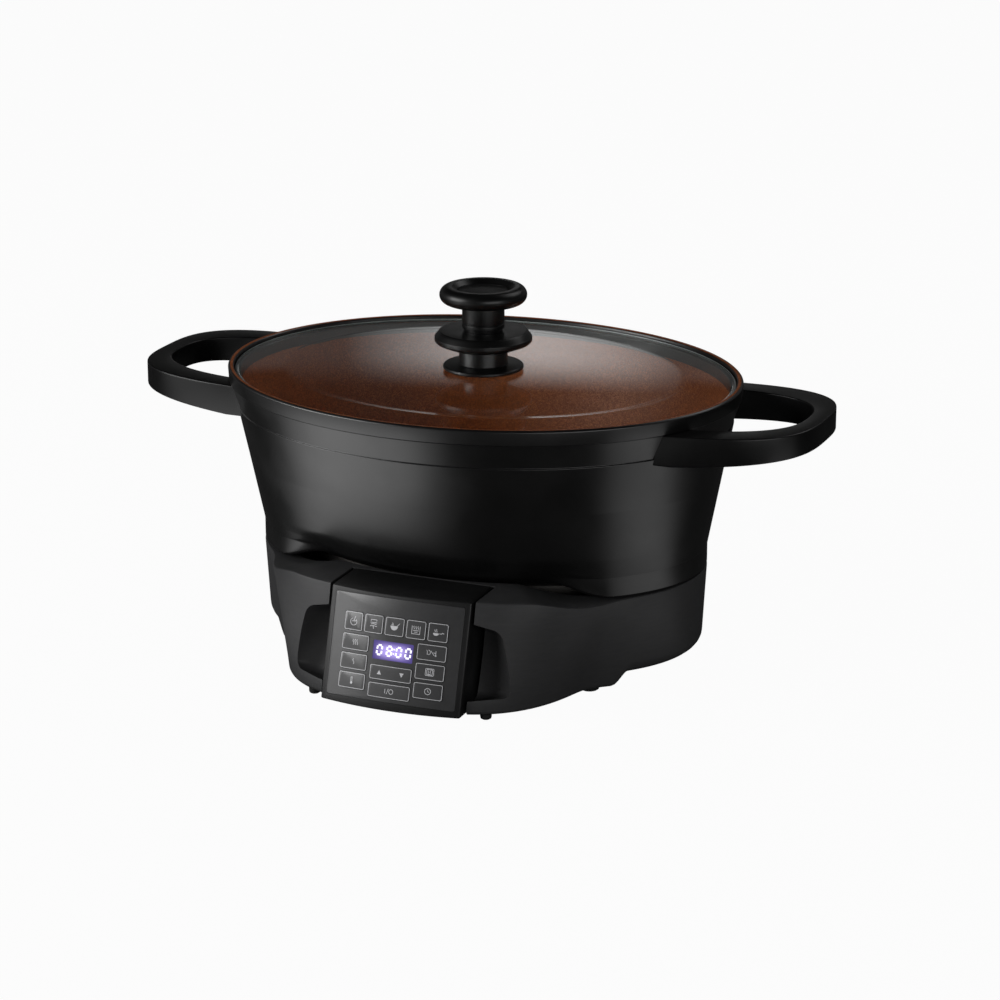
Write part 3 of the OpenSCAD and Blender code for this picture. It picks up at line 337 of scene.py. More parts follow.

# %% Moulded grain, handling marks, and edge wear with a painted highlight
COARSE_SHARE = 0.08
PATCH_START, PATCH_FULL = 0.32, 0.68
EDGE_START, EDGE_FULL = 0.515, 0.6
RUBS_PER_METRE, RUB_START, RUB_FULL = 160.0, 0.38, 0.62
moulded_grain, grain_in, grain_out = new_group(
    "moulded_grain", {"Grains per Metre": 2400.0, "Flattening": 1.0}, {"Height": FLOAT, "Tone": FLOAT})
stretch = add_node(moulded_grain, "CombineXYZ", {"X": 1.0, "Y": 1.0, "Z": grain_in["Flattening"]})
grain_place = vector_calc(moulded_grain, "MULTIPLY", object_place(moulded_grain), stretch.outputs[0])
fine = noise(moulded_grain, grain_place, grain_in["Grains per Metre"])
coarse_scale = calc(moulded_grain, "MULTIPLY", grain_in["Grains per Metre"], COARSE_SHARE)
coarse = noise(moulded_grain, grain_place, coarse_scale, 4.0)
moulded_grain.links.new(fine, grain_out["Height"])
moulded_grain.links.new(coarse, grain_out["Tone"])

handling_marks, marks_in, marks_out = new_group(
    "handling_marks", {"Patches per Metre": 24.0, "Smoothest": 0.3, "Roughest": 0.45}, {"Roughness": FLOAT})
patches = noise(handling_marks, object_place(handling_marks), marks_in["Patches per Metre"], 5.0)
patch_roughness = ramp(
    handling_marks, patches, PATCH_START, PATCH_FULL, marks_in["Smoothest"], marks_in["Roughest"])
handling_marks.links.new(patch_roughness, marks_out["Roughness"])

edge_wear_and_highlight, wear_and_highlight_in, wear_and_highlight_out = new_group(
    "edge_wear_and_highlight",
    {"Finish": (0.01, 0.01, 0.01, 1), "Worn and Highlit": (0.05, 0.05, 0.05, 1), "Wear and Highlight": 0.5},
    {"Color": COLOUR})
# Convex edges, found by pointiness, are painted lighter where the rub noise allows: partly edge wear, partly a
# painted highlight.
edges = add_node(edge_wear_and_highlight, "NewGeometry").outputs["Pointiness"]
edge_mask = ramp(edge_wear_and_highlight, edges, EDGE_START, EDGE_FULL)
rubs = noise(edge_wear_and_highlight, object_place(edge_wear_and_highlight), RUBS_PER_METRE, 4.0)
rubbed = ramp(edge_wear_and_highlight, rubs, RUB_START, RUB_FULL)
worn_and_highlit = calc(edge_wear_and_highlight, "MULTIPLY", calc(edge_wear_and_highlight, "MULTIPLY", edge_mask, rubbed), wear_and_highlight_in["Wear and Highlight"])
edge_wear_and_highlight.links.new(mixed(edge_wear_and_highlight, worn_and_highlit, wear_and_highlight_in["Finish"], wear_and_highlight_in["Worn and Highlit"]), wear_and_highlight_out["Color"])
print("groups:", [group.name for group in bpy.data.node_groups])

# %% [markdown]
# ### Flakes and rings
#
# The coating inside the pot holds fine mica, which shows as lighter specks in cloudy drifts. Noise alone has
# no crisp specks, so the cells of a Voronoi texture, each with its own tone, are thinned out by broad noise.
# Metal that was turned on a lathe has rings round its axis: noise along the distance from that axis gives
# rings of uneven depth, where a wave texture would give them all alike.

# %% Flakes of the copper-coloured coating and rings left by a lathe
SPECK_START, SPECK_FULL = 0.25, 1.0
CLOUDS_PER_METRE, CLOUD_START, CLOUD_FULL, DRIFT_LEAST = 60.0, 0.2, 0.7, 0.55
FLAKE_DULL, FLAKE_SMOOTH = 0.5, 0.32
coating_flakes, flake_in, flake_out = new_group(
    "coating_flakes",
    {"Flakes per Metre": 1500.0, "Deep": (0.1, 0.03, 0.01, 1), "Bright": (0.3, 0.1, 0.04, 1)},
    {"Color": COLOUR, "Roughness": FLOAT, "Height": FLOAT})
flake_place = object_place(coating_flakes)
flake_sockets = {"Vector": flake_place, "Scale": flake_in["Flakes per Metre"]}
flake_cells = add_node(coating_flakes, "TexVoronoi", flake_sockets)
flake_tone = add_node(coating_flakes, "SeparateColor", {0: flake_cells.outputs["Color"]}).outputs[0]
clouds = noise(coating_flakes, flake_place, CLOUDS_PER_METRE, 5.0)
specks = ramp(coating_flakes, flake_tone, SPECK_START, SPECK_FULL)
drifts = ramp(coating_flakes, clouds, CLOUD_START, CLOUD_FULL, DRIFT_LEAST, 1.0)
flake_share = calc(coating_flakes, "MULTIPLY", specks, drifts)
flake_colour = mixed(coating_flakes, flake_share, flake_in["Deep"], flake_in["Bright"])
coating_flakes.links.new(flake_colour, flake_out["Color"])
flake_roughness = ramp(coating_flakes, flake_tone, 0, 1, FLAKE_DULL, FLAKE_SMOOTH)
coating_flakes.links.new(flake_roughness, flake_out["Roughness"])
coating_flakes.links.new(flake_tone, flake_out["Height"])

turned_rings, ring_in, ring_out = new_group(
    "turned_rings", {"Rings per Metre": 900.0}, {"Height": FLOAT, "Tone": FLOAT})
axis_place = vector_calc(turned_rings, "SUBTRACT", object_place(turned_rings), (0, pot_axis_y, 0))
ring_reach = vector_calc(turned_rings, "LENGTH", vector_calc(turned_rings, "MULTIPLY", axis_place, (1, 1, 0)))
ring_count = calc(turned_rings, "MULTIPLY", ring_reach, ring_in["Rings per Metre"])
ring_line = add_node(turned_rings, "CombineXYZ", {"X": ring_count}).outputs[0]
turned_rings.links.new(noise(turned_rings, ring_line, 1.0, 3.0), ring_out["Height"])
turned_rings.links.new(noise(turned_rings, ring_line, 0.21, 2.0), ring_out["Tone"])
print("groups:", [group.name for group in bpy.data.node_groups])

# %% [markdown]
# ## Finishes
#
# Almost everything one sees is black plastic or black enamel, and the pieces differ in gloss and grain more
# than in colour. A material could be built by hand for each, but one function makes a moulded finish from those
# few numbers, and the look of all of them can then be tuned in one place.

# %% Moulded plastics
GRAIN_DEPTH, RING_DEPTH = 0.0001, 0.0002
DARK_TONE, LIGHT_TONE = 0.8, 1.2


def new_finish(name):
    """An empty Principled material, its node tree and its shader's inputs."""
    finish = bpy.data.materials.new(name)
    finish.use_nodes = True
    return finish, finish.node_tree, finish.node_tree.nodes["Principled BSDF"].inputs


def grey(level):
    """A grey with a trace of blue, as black plastics have."""
    return (level, level, level * 1.03, 1)


def bumped(tree, height, strength, depth):
    """Normal of a bump of a depth in metres."""
    sockets = {"Strength": strength, "Distance": depth, "Height": height}
    return add_node(tree, "Bump", sockets).outputs["Normal"]


def scaled(colour, factor):
    """A colour made darker or lighter."""
    return tuple(c * factor for c in colour[:3]) + (1,)


def moulded(name, colour, smoothest, roughest, grains=2400.0, bump=0.25,
            flattening=1.0, wear_and_highlight=0.5, worn_and_highlit=0.03, ior=1.5):
    """Moulded plastic, rubber or enamel with grain, handling marks and edges painted lighter, as wear and as a
    painted highlight.
    """
    finish, tree, shader = new_finish(name)
    sockets = {"Grains per Metre": grains, "Flattening": flattening}
    grain = add_node(tree, "Group", sockets, node_tree=moulded_grain)
    tone = mixed(tree, grain.outputs["Tone"], scaled(colour, DARK_TONE), scaled(colour, LIGHT_TONE))
    edge = add_node(tree, "Group", {"Finish": tone, "Worn and Highlit": grey(worn_and_highlit), "Wear and Highlight": wear_and_highlight}, node_tree=edge_wear_and_highlight)
    marks = add_node(tree, "Group", {"Smoothest": smoothest, "Roughest": roughest}, node_tree=handling_marks)
    tree.links.new(edge.outputs["Color"], shader["Base Color"])
    tree.links.new(marks.outputs["Roughness"], shader["Roughness"])
    tree.links.new(bumped(tree, grain.outputs["Height"], bump, GRAIN_DEPTH), shader["Normal"])
    shader["IOR"].default_value = ior
    return finish


pot_satin = moulded("pot_satin_black", grey(0.004), 0.28, 0.36, 1600.0, 0.06, wear_and_highlight=0.3, ior=1.8)
handle_satin = moulded("handle_satin_black", grey(0.004), 0.28, 0.36, 2200.0, 0.1, wear_and_highlight=0.25)
base_matte = moulded("base_matte_black", grey(0.045), 0.44, 0.54, 1100.0, 0.2, flattening=9.0, wear_and_highlight=0.3,
    worn_and_highlit=0.08, ior=1.45)
panel_box_plastic = moulded("panel_box_black", grey(0.008), 0.4, 0.5, 2400.0, 0.15, wear_and_highlight=0.3)
plate_film = moulded("plate_dark_film", grey(0.05), 0.3, 0.36, 2600.0, 0.06, wear_and_highlight=0.0, ior=1.75)
key_film = moulded("key_grey_film", grey(0.07), 0.3, 0.36, 2600.0, 0.06, wear_and_highlight=0.4, worn_and_highlit=0.3, ior=1.75)
knob_matte = moulded("knob_matte_black", grey(0.004), 0.3, 0.38, 2000.0, 0.1, wear_and_highlight=0.25)
knob_disc = moulded("knob_sunk_disc", grey(0.008), 0.4, 0.5, 2600.0, 0.25, wear_and_highlight=0.0)
foot_rubber = moulded("foot_rubber", grey(0.014), 0.7, 0.85, 1800.0, 0.3, wear_and_highlight=0.2)
seal_silicone = moulded("seal_silicone", grey(0.05), 0.5, 0.6, 1500.0, 0.1, wear_and_highlight=0.0)
ground_edge = moulded("lid_ground_edge", (0.5, 0.54, 0.53, 1), 0.4, 0.5, 3000.0, 0.1, wear_and_highlight=0.0)
print("moulded finishes:", len(bpy.data.materials))

# %% [markdown]
# ### Print, coating and metals
#
# The frames and signs on the keys are a silver ink, which is pale and only a little metallic. The inside of
# the pot is a copper-coloured coating: it looks like metal, but it is a dull paint with mica in it, so it isn't
# given a metallic shader. The true metals are turned or rolled, and one function makes them all.

# %% Silver print, cooking surface and metals
silver_print, silver_tree, silver = new_finish("silver_print")
print_grain = add_node(silver_tree, "Group", {"Grains per Metre": 5000.0}, node_tree=moulded_grain)
silver_tone = mixed(silver_tree, print_grain.outputs["Tone"], grey(0.85), grey(0.95))
silver_tree.links.new(silver_tone, silver["Base Color"])
silver_tree.links.new(ramp(silver_tree, print_grain.outputs["Height"], 0, 1, 0.3, 0.5), silver["Roughness"])
silver["Metallic"].default_value = 0.1

copper_coat, copper_tree, copper = new_finish("copper_coat")
copper_tones = {"Deep": (0.28, 0.076, 0.022, 1), "Bright": (0.54, 0.155, 0.045, 1)}
flakes = add_node(copper_tree, "Group", copper_tones, node_tree=coating_flakes)
copper_tree.links.new(flakes.outputs["Color"], copper["Base Color"])
copper_tree.links.new(flakes.outputs["Roughness"], copper["Roughness"])
copper_tree.links.new(bumped(copper_tree, flakes.outputs["Height"], 0.08, GRAIN_DEPTH), copper["Normal"])
copper["IOR"].default_value = 1.3


def metal(name, colour, smooth, rough, rings=900.0, bump=0.2):
    """Turned or rolled metal, with fine rings round the pot's axis."""
    finish, tree, shader = new_finish(name)
    turned = add_node(tree, "Group", {"Rings per Metre": rings}, node_tree=turned_rings)
    marks = add_node(tree, "Group", {"Smoothest": smooth, "Roughest": rough}, node_tree=handling_marks)
    tone = mixed(tree, turned.outputs["Tone"], scaled(colour, 0.75), scaled(colour, 1))
    tree.links.new(tone, shader["Base Color"])
    tree.links.new(marks.outputs["Roughness"], shader["Roughness"])
    tree.links.new(bumped(tree, turned.outputs["Height"], bump, RING_DEPTH), shader["Normal"])
    shader["Metallic"].default_value = 1.0
    return finish


plate_aluminium = metal("plate_aluminium", (0.62, 0.62, 0.61), 0.32, 0.45)
# The heater plate is dark so that the gap under the pot's arches stays black: painted shade.
plate_painted_shade = metal("plate_painted_shade", (0.1, 0.095, 0.09), 0.45, 0.6)
dark_steel = metal("dark_steel", (0.1, 0.1, 0.1), 0.35, 0.5, 4000.0, 0.05)
shield_steel = metal("shield_steel", (0.5, 0.5, 0.5), 0.3, 0.42, 300.0, 0.05)
plated_steel = metal("plated_steel", (0.62, 0.61, 0.58), 0.25, 0.38, 4000.0, 0.05)
spring_steel = metal("spring_steel", (0.45, 0.46, 0.48), 0.25, 0.35, 4000.0, 0.03)
spacer_brass = metal("spacer_brass", (0.65, 0.45, 0.16), 0.25, 0.4, 4000.0, 0.05)
print("with print, coating and metals:", len(bpy.data.materials))

# %% [markdown]
# ### Glass and glow
#
# The lid is clear glass. Light falls through real glass into the pot, but a path tracer finds such paths only
# by luck, so shadow rays pass the lid as if it were tinted air. The display is a violet lamp behind dark
# plastic: it is brightest in its middle, and the digits over it are white bars that glow themselves.

# %% Glass and the glowing display
lid_clear, lid_tree, lid = new_finish("lid_clear_glass")
lid["Base Color"].default_value = (0.93, 0.97, 0.96, 1)
lid["Transmission Weight"].default_value = 1.0
lid["IOR"].default_value = 1.5
lid_marks = add_node(lid_tree, "Group", {"Smoothest": 0.0, "Roughest": 0.015}, node_tree=handling_marks)
lid_tree.links.new(lid_marks.outputs["Roughness"], lid["Roughness"])
lid_shadow = add_node(lid_tree, "LightPath").outputs["Is Shadow Ray"]
lid_open = add_node(lid_tree, "BsdfTransparent", {"Color": (0.9, 0.93, 0.92, 1)}).outputs["BSDF"]
lid_solid = lid_tree.nodes["Principled BSDF"].outputs["BSDF"]
lid_mix = add_node(lid_tree, "MixShader", {0: lid_shadow, 1: lid_solid, 2: lid_open})
lid_tree.links.new(lid_mix.outputs["Shader"], lid_tree.nodes["Material Output"].inputs["Surface"])

window_glow, window_tree, window = new_finish("window_violet_glow")
window["Base Color"].default_value = (0.012, 0.01, 0.03, 1)
window_marks = add_node(window_tree, "Group", {"Smoothest": 0.12, "Roughest": 0.2}, node_tree=handling_marks)
window_tree.links.new(window_marks.outputs["Roughness"], window["Roughness"])
glow_ends_across, glow_ends_upward = (1.05, 0.3), (1.1, 0.15)
window_low, window_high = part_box("display_window")
window_middle = (window_low + window_high) / 2
window_half = (window_high - window_low) / 2
window_place = vector_calc(window_tree, "SUBTRACT", object_place(window_tree), window_middle)
window_axes = add_node(window_tree, "SeparateXYZ", {"Vector": window_place}).outputs
across = calc(window_tree, "DIVIDE", calc(window_tree, "ABSOLUTE", window_axes["X"]), window_half.x)
upward = calc(window_tree, "DIVIDE", calc(window_tree, "ABSOLUTE", window_axes["Z"]), window_half.z)
glow_across = ramp(window_tree, across, *glow_ends_across)
glow_upward = ramp(window_tree, upward, *glow_ends_upward)
glow = calc(window_tree, "MULTIPLY", glow_across, glow_upward)
glow_colour = mixed(window_tree, glow, (0.08, 0.06, 0.23, 1), (0.5, 0.4, 0.95, 1))
window_tree.links.new(glow_colour, window["Emission Color"])
window["Emission Strength"].default_value = 1.0

digit_glow, digit_tree, digit = new_finish("digit_white_glow")
digit_tone = noise(digit_tree, object_place(digit_tree), 900.0)
digit_colour = mixed(digit_tree, digit_tone, (0.92, 0.9, 1, 1), (1, 1, 1, 1))
digit_tree.links.new(digit_colour, digit["Emission Color"])
digit["Base Color"].default_value = (0.6, 0.6, 0.7, 1)
digit["Emission Strength"].default_value = 1.0
print("with glass and display:", len(bpy.data.materials))

# %% [markdown]
# ## Profiles with round corners
#
# Nothing on a real cooker has a perfectly sharp corner: each edge catches a thin line of light. One could add
# a Bevel modifier to every mesh, but these pieces are lofts of a profile round the pot's axis, so it is
# simpler to round the profile itself. A corner is written as (distance, height, radius), and each one becomes
# a short Bezier arc. The same count of points in every direction keeps the rows of faces in step.

# %% Rounding
LEAST_REACH, SIDE_SHARE = 0.05, 0.45


def rounded(corners, closed=False, arc_points=4):
    """Path through the corners, each one turned into a short arc of its radius."""
    path = []
    count = len(corners)
    for i, (x, y, radius) in enumerate(corners):
        if radius == 0 or not closed and i in (0, count - 1):
            path.append((x, y))
            continue
        ax, ay = corners[i - 1][0] - x, corners[i - 1][1] - y
        cx, cy = corners[(i + 1) % count][0] - x, corners[(i + 1) % count][1] - y
        a_len, c_len = max(math.hypot(ax, ay), 1e-9), max(math.hypot(cx, cy), 1e-9)
        cosine = min(1, max(-1, (ax * cx + ay * cy) / (a_len * c_len)))
        half_turn = max(math.acos(cosine) / 2, 1e-6)
        reach = min(max(radius / math.tan(half_turn), LEAST_REACH), SIDE_SHARE * min(a_len, c_len))
        for k in range(arc_points):
            s = k / (arc_points - 1)
            to_a, to_c = reach * (1 - s) ** 2 / a_len, reach * s ** 2 / c_len
            path.append((x + to_a * ax + to_c * cx, y + to_a * ay + to_c * cy))
    return path


sample_corner = rounded([(0, 3, 0), (0, 0, 1), (3, 0, 0)])
print("a square corner of radius 1:", [(round(x, 2), round(y, 2)) for x, y in sample_corner])

# %% Lofting
def finish_mesh(mesh, crease=40):
    """Turns all faces outwards and shades them smooth, but for edges sharper than the crease."""
    shape = bmesh.new()
    shape.from_mesh(mesh)
    bmesh.ops.recalc_face_normals(shape, faces=shape.faces)
    shape.to_mesh(mesh)
    shape.free()
    mesh.shade_smooth()
    mesh.set_sharp_from_angle(angle=math.radians(crease))
    return mesh


def loft(name, rings, closed=False, finish_of=None, crease=40):
    """Mesh through profiles that stand round an axis. Open profiles are capped at both ends."""
    turns, count = len(rings), len(rings[0])
    points = [point for ring in rings for point in ring]
    faces = []
    slots = []
    for i in range(turns):
        here, there = i * count, (i + 1) % turns * count
        for j in range(count if closed else count - 1):
            k = (j + 1) % count
            faces.append((here + j, there + j, there + k, here + k))
            slots.append(finish_of(j) if finish_of else 0)
    if not closed:
        faces.append(tuple(i * count for i in reversed(range(turns))))
        faces.append(tuple((i + 1) * count - 1 for i in range(turns)))
        slots += [slots[0], slots[count - 2]]
    mesh = bpy.data.meshes.new(name)
    mesh.from_pydata(points, [], faces)
    mesh.polygons.foreach_set("material_index", slots)
    return finish_mesh(mesh, crease)


print("loft helpers made")

# %% Pieces and places
def add_piece(name, mesh, finishes, body, slot, *nodes):
    """Makes a piece of a mesh; it rides a body and stands for CAD nodes. The slot argument is not used."""
    piece = bpy.data.objects.new(name, mesh)
    scene.collection.objects.link(piece)
    for finish in finishes:
        mesh.materials.append(finish)
    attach(piece, body)
    if nodes:
        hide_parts(*nodes)
    print(name, len(mesh.polygons), "faces, on", body)
    return piece


def place(x, y, z):
    """Point of the frame in metres, from millimetres about the pot's axis."""
    return Vector((x * MM, y * MM + pot_axis_y, z * MM))


def around(steps, profile_of):
    """Rings of points: profile_of gives (distance, height) pairs for each direction."""
    rings = []
    for i in range(steps):
        t = 2 * math.pi * i / steps
        rings.append([place(r * math.cos(t), r * math.sin(t), z) for r, z in profile_of(t)])
    return rings


print("pot's axis at y =", round(pot_axis_y / MM, 2), "mm")

# %% [markdown]
# ## Outlines
#
# The pot and the base are ovals whose size changes with height. The base is also wider in front and behind,
# where a squarer bulge takes over from the oval: a power mean of the two distances gives their union with a
# soft crease. These few functions are the only description of the plan shapes, and every piece uses them.

# %% Oval, bulge and base outlines
def between(p, q, share):
    """Value between two others."""
    return p + (q - p) * share


def ease(share):
    """A share that starts and ends softly."""
    share = min(1, max(0, share))
    return share * share * (3 - 2 * share)


def oval_r(t, a, b):
    """Distance from the axis to an oval in the direction t."""
    return 1 / math.hypot(math.cos(t) / a, math.sin(t) / b)


END_FOOT, END_TOP = (162.5, 112, 12), (165.3, 118.2, 70)
BULGE_FOOT, BULGE_TOP = (115, 4), (138, 80)
FRONT_REACH, REAR_REACH = (166, 145), (150, 143)
BULGE_POWER = 3
CREASE_POWER = 36
CREASE_X, DECK_X = 131, 87
FOOT_CREASE_X, DROP_X = 137, 127


def base_r(t, z):
    """Distance from the axis to the base's wall."""
    e = (z - END_FOOT[2]) / (END_TOP[2] - END_FOOT[2])
    s = (z - BULGE_FOOT[1]) / (BULGE_TOP[1] - BULGE_FOOT[1])
    end = oval_r(t, between(END_FOOT[0], END_TOP[0], e), between(END_FOOT[1], END_TOP[1], e))
    reach = between(*(FRONT_REACH if math.sin(t) < 0 else REAR_REACH), s)
    half = between(BULGE_FOOT[0], BULGE_TOP[0], s)
    corner = (abs(math.cos(t)) / half) ** BULGE_POWER + (abs(math.sin(t)) / reach) ** BULGE_POWER
    bulge = corner ** (-1 / BULGE_POWER)
    return (end ** CREASE_POWER + bulge ** CREASE_POWER) ** (1 / CREASE_POWER)


def across_share(t, z, outer, inner):
    """How far a direction is from the ends towards the bulges, between two distances along X."""
    return ease((outer - abs(base_r(t, z) * math.cos(t))) / (outer - inner))


def base_top(t):
    """Height of the base's top edge."""
    return between(END_TOP[2], BULGE_TOP[1], across_share(t, END_TOP[2], CREASE_X, DECK_X))


def bulge_share(t):
    """How far the foot of the wall has dropped from the ends to the bulges."""
    return across_share(t, END_FOOT[2], FOOT_CREASE_X, DROP_X)


def base_foot(t):
    """Height of the base's lower edge."""
    return between(END_FOOT[2], BULGE_FOOT[1], bulge_share(t))


front_r, end_r = base_r(-math.pi / 2, BULGE_FOOT[1]), base_r(0, END_TOP[2])
print("base: front", round(front_r, 1), "end", round(end_r, 1), "mm")

# %% [markdown]
# ## The pot
#
# The pot is a deep oval casting: satin enamel outside, a copper-coloured coating inside and on top of the rim,
# and a black ring round the lid's seat that is painted shade. Under the lip runs a sunk band where the handles
# sit, and at the front and rear
# the foot ring opens into a low arch. A revolve would give a round pot, so the profile is worked out again for
# each of 288 directions and lofted. The height of a row, and the side of the rim that it is on, give its
# finish.

# %% Sizes of the pot
_, pot_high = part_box("pot_body")
RIM_A = pot_high.x / MM
RIM_B = (pot_high.y - pot_axis_y) / MM
RIM_Z = pot_high.z / MM
FOOT_A, FOOT_B, SHOULDER_Z = 165.5, 117.2, 86.5
LIP_INSET, LIP_H = 0.5, 10.4
LIP_LOW_Z = RIM_Z - LIP_H
BAND_Z, BAND_STEP, BAND_TAPER = 174, 0.8, 5.6
BAND_A, BAND_B = (edge - LIP_INSET - BAND_STEP - BAND_TAPER for edge in (RIM_A, RIM_B))
RIM_T, LID_STEP, LEDGE_W = 4.3, 6.8, 5
INNER_A, INNER_B = RIM_A - RIM_T, RIM_B - RIM_T
# The copper coating starts this high; the black ring above it, round the lid's seat, is painted shade.
PAINTED_SHADE_FOOT_Z, POT_WALL = 187, 3.6
FLOOR_Z, FLOOR_T = 73, 5
BOWL_A, BOWL_B, BOWL_H = 57, 53, 30
RING_T, RING_ROOF_Z, RING_GAP = 4, 83.5, 1.6
ARCH_R, ARCH_Q0, ARCH_Q1 = 48.3, math.radians(33), math.radians(57)
ARCH_X, ARCH_RUN, ARCH_SOFT = 126, 44, 40
ARCH_INSET_A, ARCH_INSET_B, ARCH_STRETCH, ARCH_LOW = 16.5, 15.7, 1.106, 6.6
WALL_ROWS = (93, 100, 137)
# rows of the dished underside: inset along, inset across, rise, corner radius
UNDERSIDE = ((35.5, 33.2, 0, 0), (27.5, 25.2, 1.5, 3), (19.5, 18.2, 5, 3))
POT_TURNS = 288
print("pot: rim", round(2 * RIM_A, 1), "by", round(2 * RIM_B, 1), "mm at", round(RIM_Z, 1), "mm")

# %% Profile of the pot
def body_r(t, z):
    """Distance from the axis to the pot's wall between the shoulder and the band."""
    s = (z - SHOULDER_Z) / (BAND_Z - SHOULDER_Z)
    return oval_r(t, between(FOOT_A, BAND_A + BAND_STEP, s), between(FOOT_B, BAND_B + BAND_STEP, s))


def foot_r(t, inset_a, inset_b):
    """Distance from the axis to the foot's oval, drawn in by two insets."""
    return oval_r(t, FOOT_A - inset_a, FOOT_B - inset_b)


def arch_corner(t, q):
    """Point of the round underside that shows in the open arches."""
    out = ARCH_R * (math.sin(q) - math.sin(ARCH_Q0))
    up = ARCH_R * (math.cos(ARCH_Q0) - math.cos(q))
    return foot_r(t, ARCH_INSET_A - out, ARCH_INSET_B - ARCH_STRETCH * out), FLOOR_Z + ARCH_LOW + up


def foot_corners(t):
    """Seven corners from the underside to the wall: a foot ring, or an arch at the front and rear."""
    ring, ring_low = foot_r(t, 0.2, 0.2), base_top(t) + RING_GAP
    foot_ring = [(foot_r(t, 10.5, 10.5), RING_ROOF_Z, 2), (ring - RING_T, RING_ROOF_Z, 1),
        (ring - RING_T, ring_low, 0.8), (ring, ring_low, 0.8), (ring, SHOULDER_Z - 0.8, 0.4),
        (foot_r(t, 0, 0), SHOULDER_Z, 1.5), (body_r(t, WALL_ROWS[0]), WALL_ROWS[0], 8)]
    share = ease((ARCH_X - abs(foot_r(t, 0, 0) * math.cos(t))) / ARCH_RUN)
    corners = []
    for j, (r, z, radius) in enumerate(foot_ring):
        arch_r, arch_z = arch_corner(t, between(ARCH_Q0, ARCH_Q1, j / (len(foot_ring) - 1)))
        soft = between(radius, ARCH_SOFT, share)
        corners.append((between(r, arch_r, share), between(z, arch_z, share), soft))
    return corners


def outer_corners(t):
    """Corners from the middle of the underside to the top of the rim."""
    band_top = (BAND_A + BAND_TAPER, BAND_B + BAND_TAPER)
    dish = [(foot_r(t, along, across), FLOOR_Z + rise, radius) for along, across, rise, radius in UNDERSIDE]
    wall = [(body_r(t, z), z, 60) for z in WALL_ROWS[1:]]
    return [*dish, *foot_corners(t), *wall, (body_r(t, BAND_Z), BAND_Z - BAND_STEP, 0.5),
        (oval_r(t, BAND_A, BAND_B), BAND_Z, 0.5), (oval_r(t, *band_top), LIP_LOW_Z - BAND_STEP, 0.6),
        (oval_r(t, RIM_A - LIP_INSET, RIM_B - LIP_INSET), LIP_LOW_Z, 0.5),
        (oval_r(t, RIM_A, RIM_B), RIM_Z - 1.2, 1), (oval_r(t, RIM_A - 1.2, RIM_B - 1.2), RIM_Z, 1)]


def inner_corners(t):
    """Corners from the top of the rim, over the lid's ledge, to the middle of the floor."""
    ledge, shade_foot_inset = LEDGE_W, LEDGE_W + 0.4
    corners = [(oval_r(t, INNER_A + 0.8, INNER_B + 0.8), RIM_Z, 0.6),
        (oval_r(t, INNER_A, INNER_B), RIM_Z - 1, 0.6), (oval_r(t, INNER_A, INNER_B), RIM_Z - LID_STEP, 0.5),
        (oval_r(t, INNER_A - ledge, INNER_B - ledge), RIM_Z - LID_STEP - 0.3, 1),
        (oval_r(t, INNER_A - shade_foot_inset, INNER_B - shade_foot_inset), PAINTED_SHADE_FOOT_Z, 0),
        (oval_r(t, BAND_A - POT_WALL, BAND_B - POT_WALL), BAND_Z - 1, 60)]
    for q in (math.radians(90 - 15 * k) for k in range(7)):
        draw = 1 - math.sin(q)
        bowl = oval_r(t, FOOT_A - 0.5 - BOWL_A * draw, FOOT_B + 1.8 - BOWL_B * draw)
        corners.append((bowl, FLOOR_Z + FLOOR_T + BOWL_H * (1 - math.cos(q)), 40))
    return corners


def pot_profile(t):
    """Rounded profile of the pot in the direction t."""
    return rounded(outer_corners(t) + inner_corners(t))


print("pot's profile:", len(pot_profile(0)), "points")

# %% Pot
pot_path = pot_profile(0)
rim_row = max(range(len(pot_path)), key=lambda j: pot_path[j][1])


def pot_finish(row):
    """0 for the enamel outside and for the black ring round the lid's seat, which is painted shade; 1 for the
    coating on the rim's top and on the rest of the inside.
    """
    height = pot_path[row][1]
    return int(row >= rim_row and (height > RIM_Z - 0.2 or height < PAINTED_SHADE_FOOT_Z + 0.2))


pot_mesh = loft("pot_shell", around(POT_TURNS, pot_profile), finish_of=pot_finish)
add_piece("pot_shell", pot_mesh, [pot_satin, copper_coat], "pot", "pot_coating", "pot_body")

# %% [markdown]
# ## The handles
#
# Each handle is a flat loop with a squarish plan, thicker at its arms than at its end, and it rises a little
# towards the end. It could be cut from a slab, but then its edges would be sharp. Here a rounded section is
# swept along the loop, and each of its lines is followed until it meets the pot's wall, which leaves a neat
# seam there.

# %% Section of the handles
HANDLE_X, HANDLE_REACH, HANDLE_W = 150, cad_high.x / MM, 74
BAR_END, BAR_ARM = 13, 19.5
HANDLE_ROOT_X, HANDLE_TOP_Z, HANDLE_H = 168, 191.2, 22
HANDLE_LENGTH = HANDLE_REACH - HANDLE_ROOT_X
HANDLE_RISE, HANDLE_UNDER_RISE = 2.6, 8.5
LOOP_POWER, GAP_POWER = 3, 2.6
HANDLE_EDGE = 1.1
HANDLE_SEAM = -0.8
HANDLE_STEPS = 96
ROOT_TRIES = 30


def loop_point(q, length, half_width, power):
    """Point of a squarish loop at the angle q."""
    x, y = (math.copysign(abs(c) ** (2 / power), c) for c in (math.cos(q), math.sin(q)))
    return HANDLE_X + length * x, half_width * y


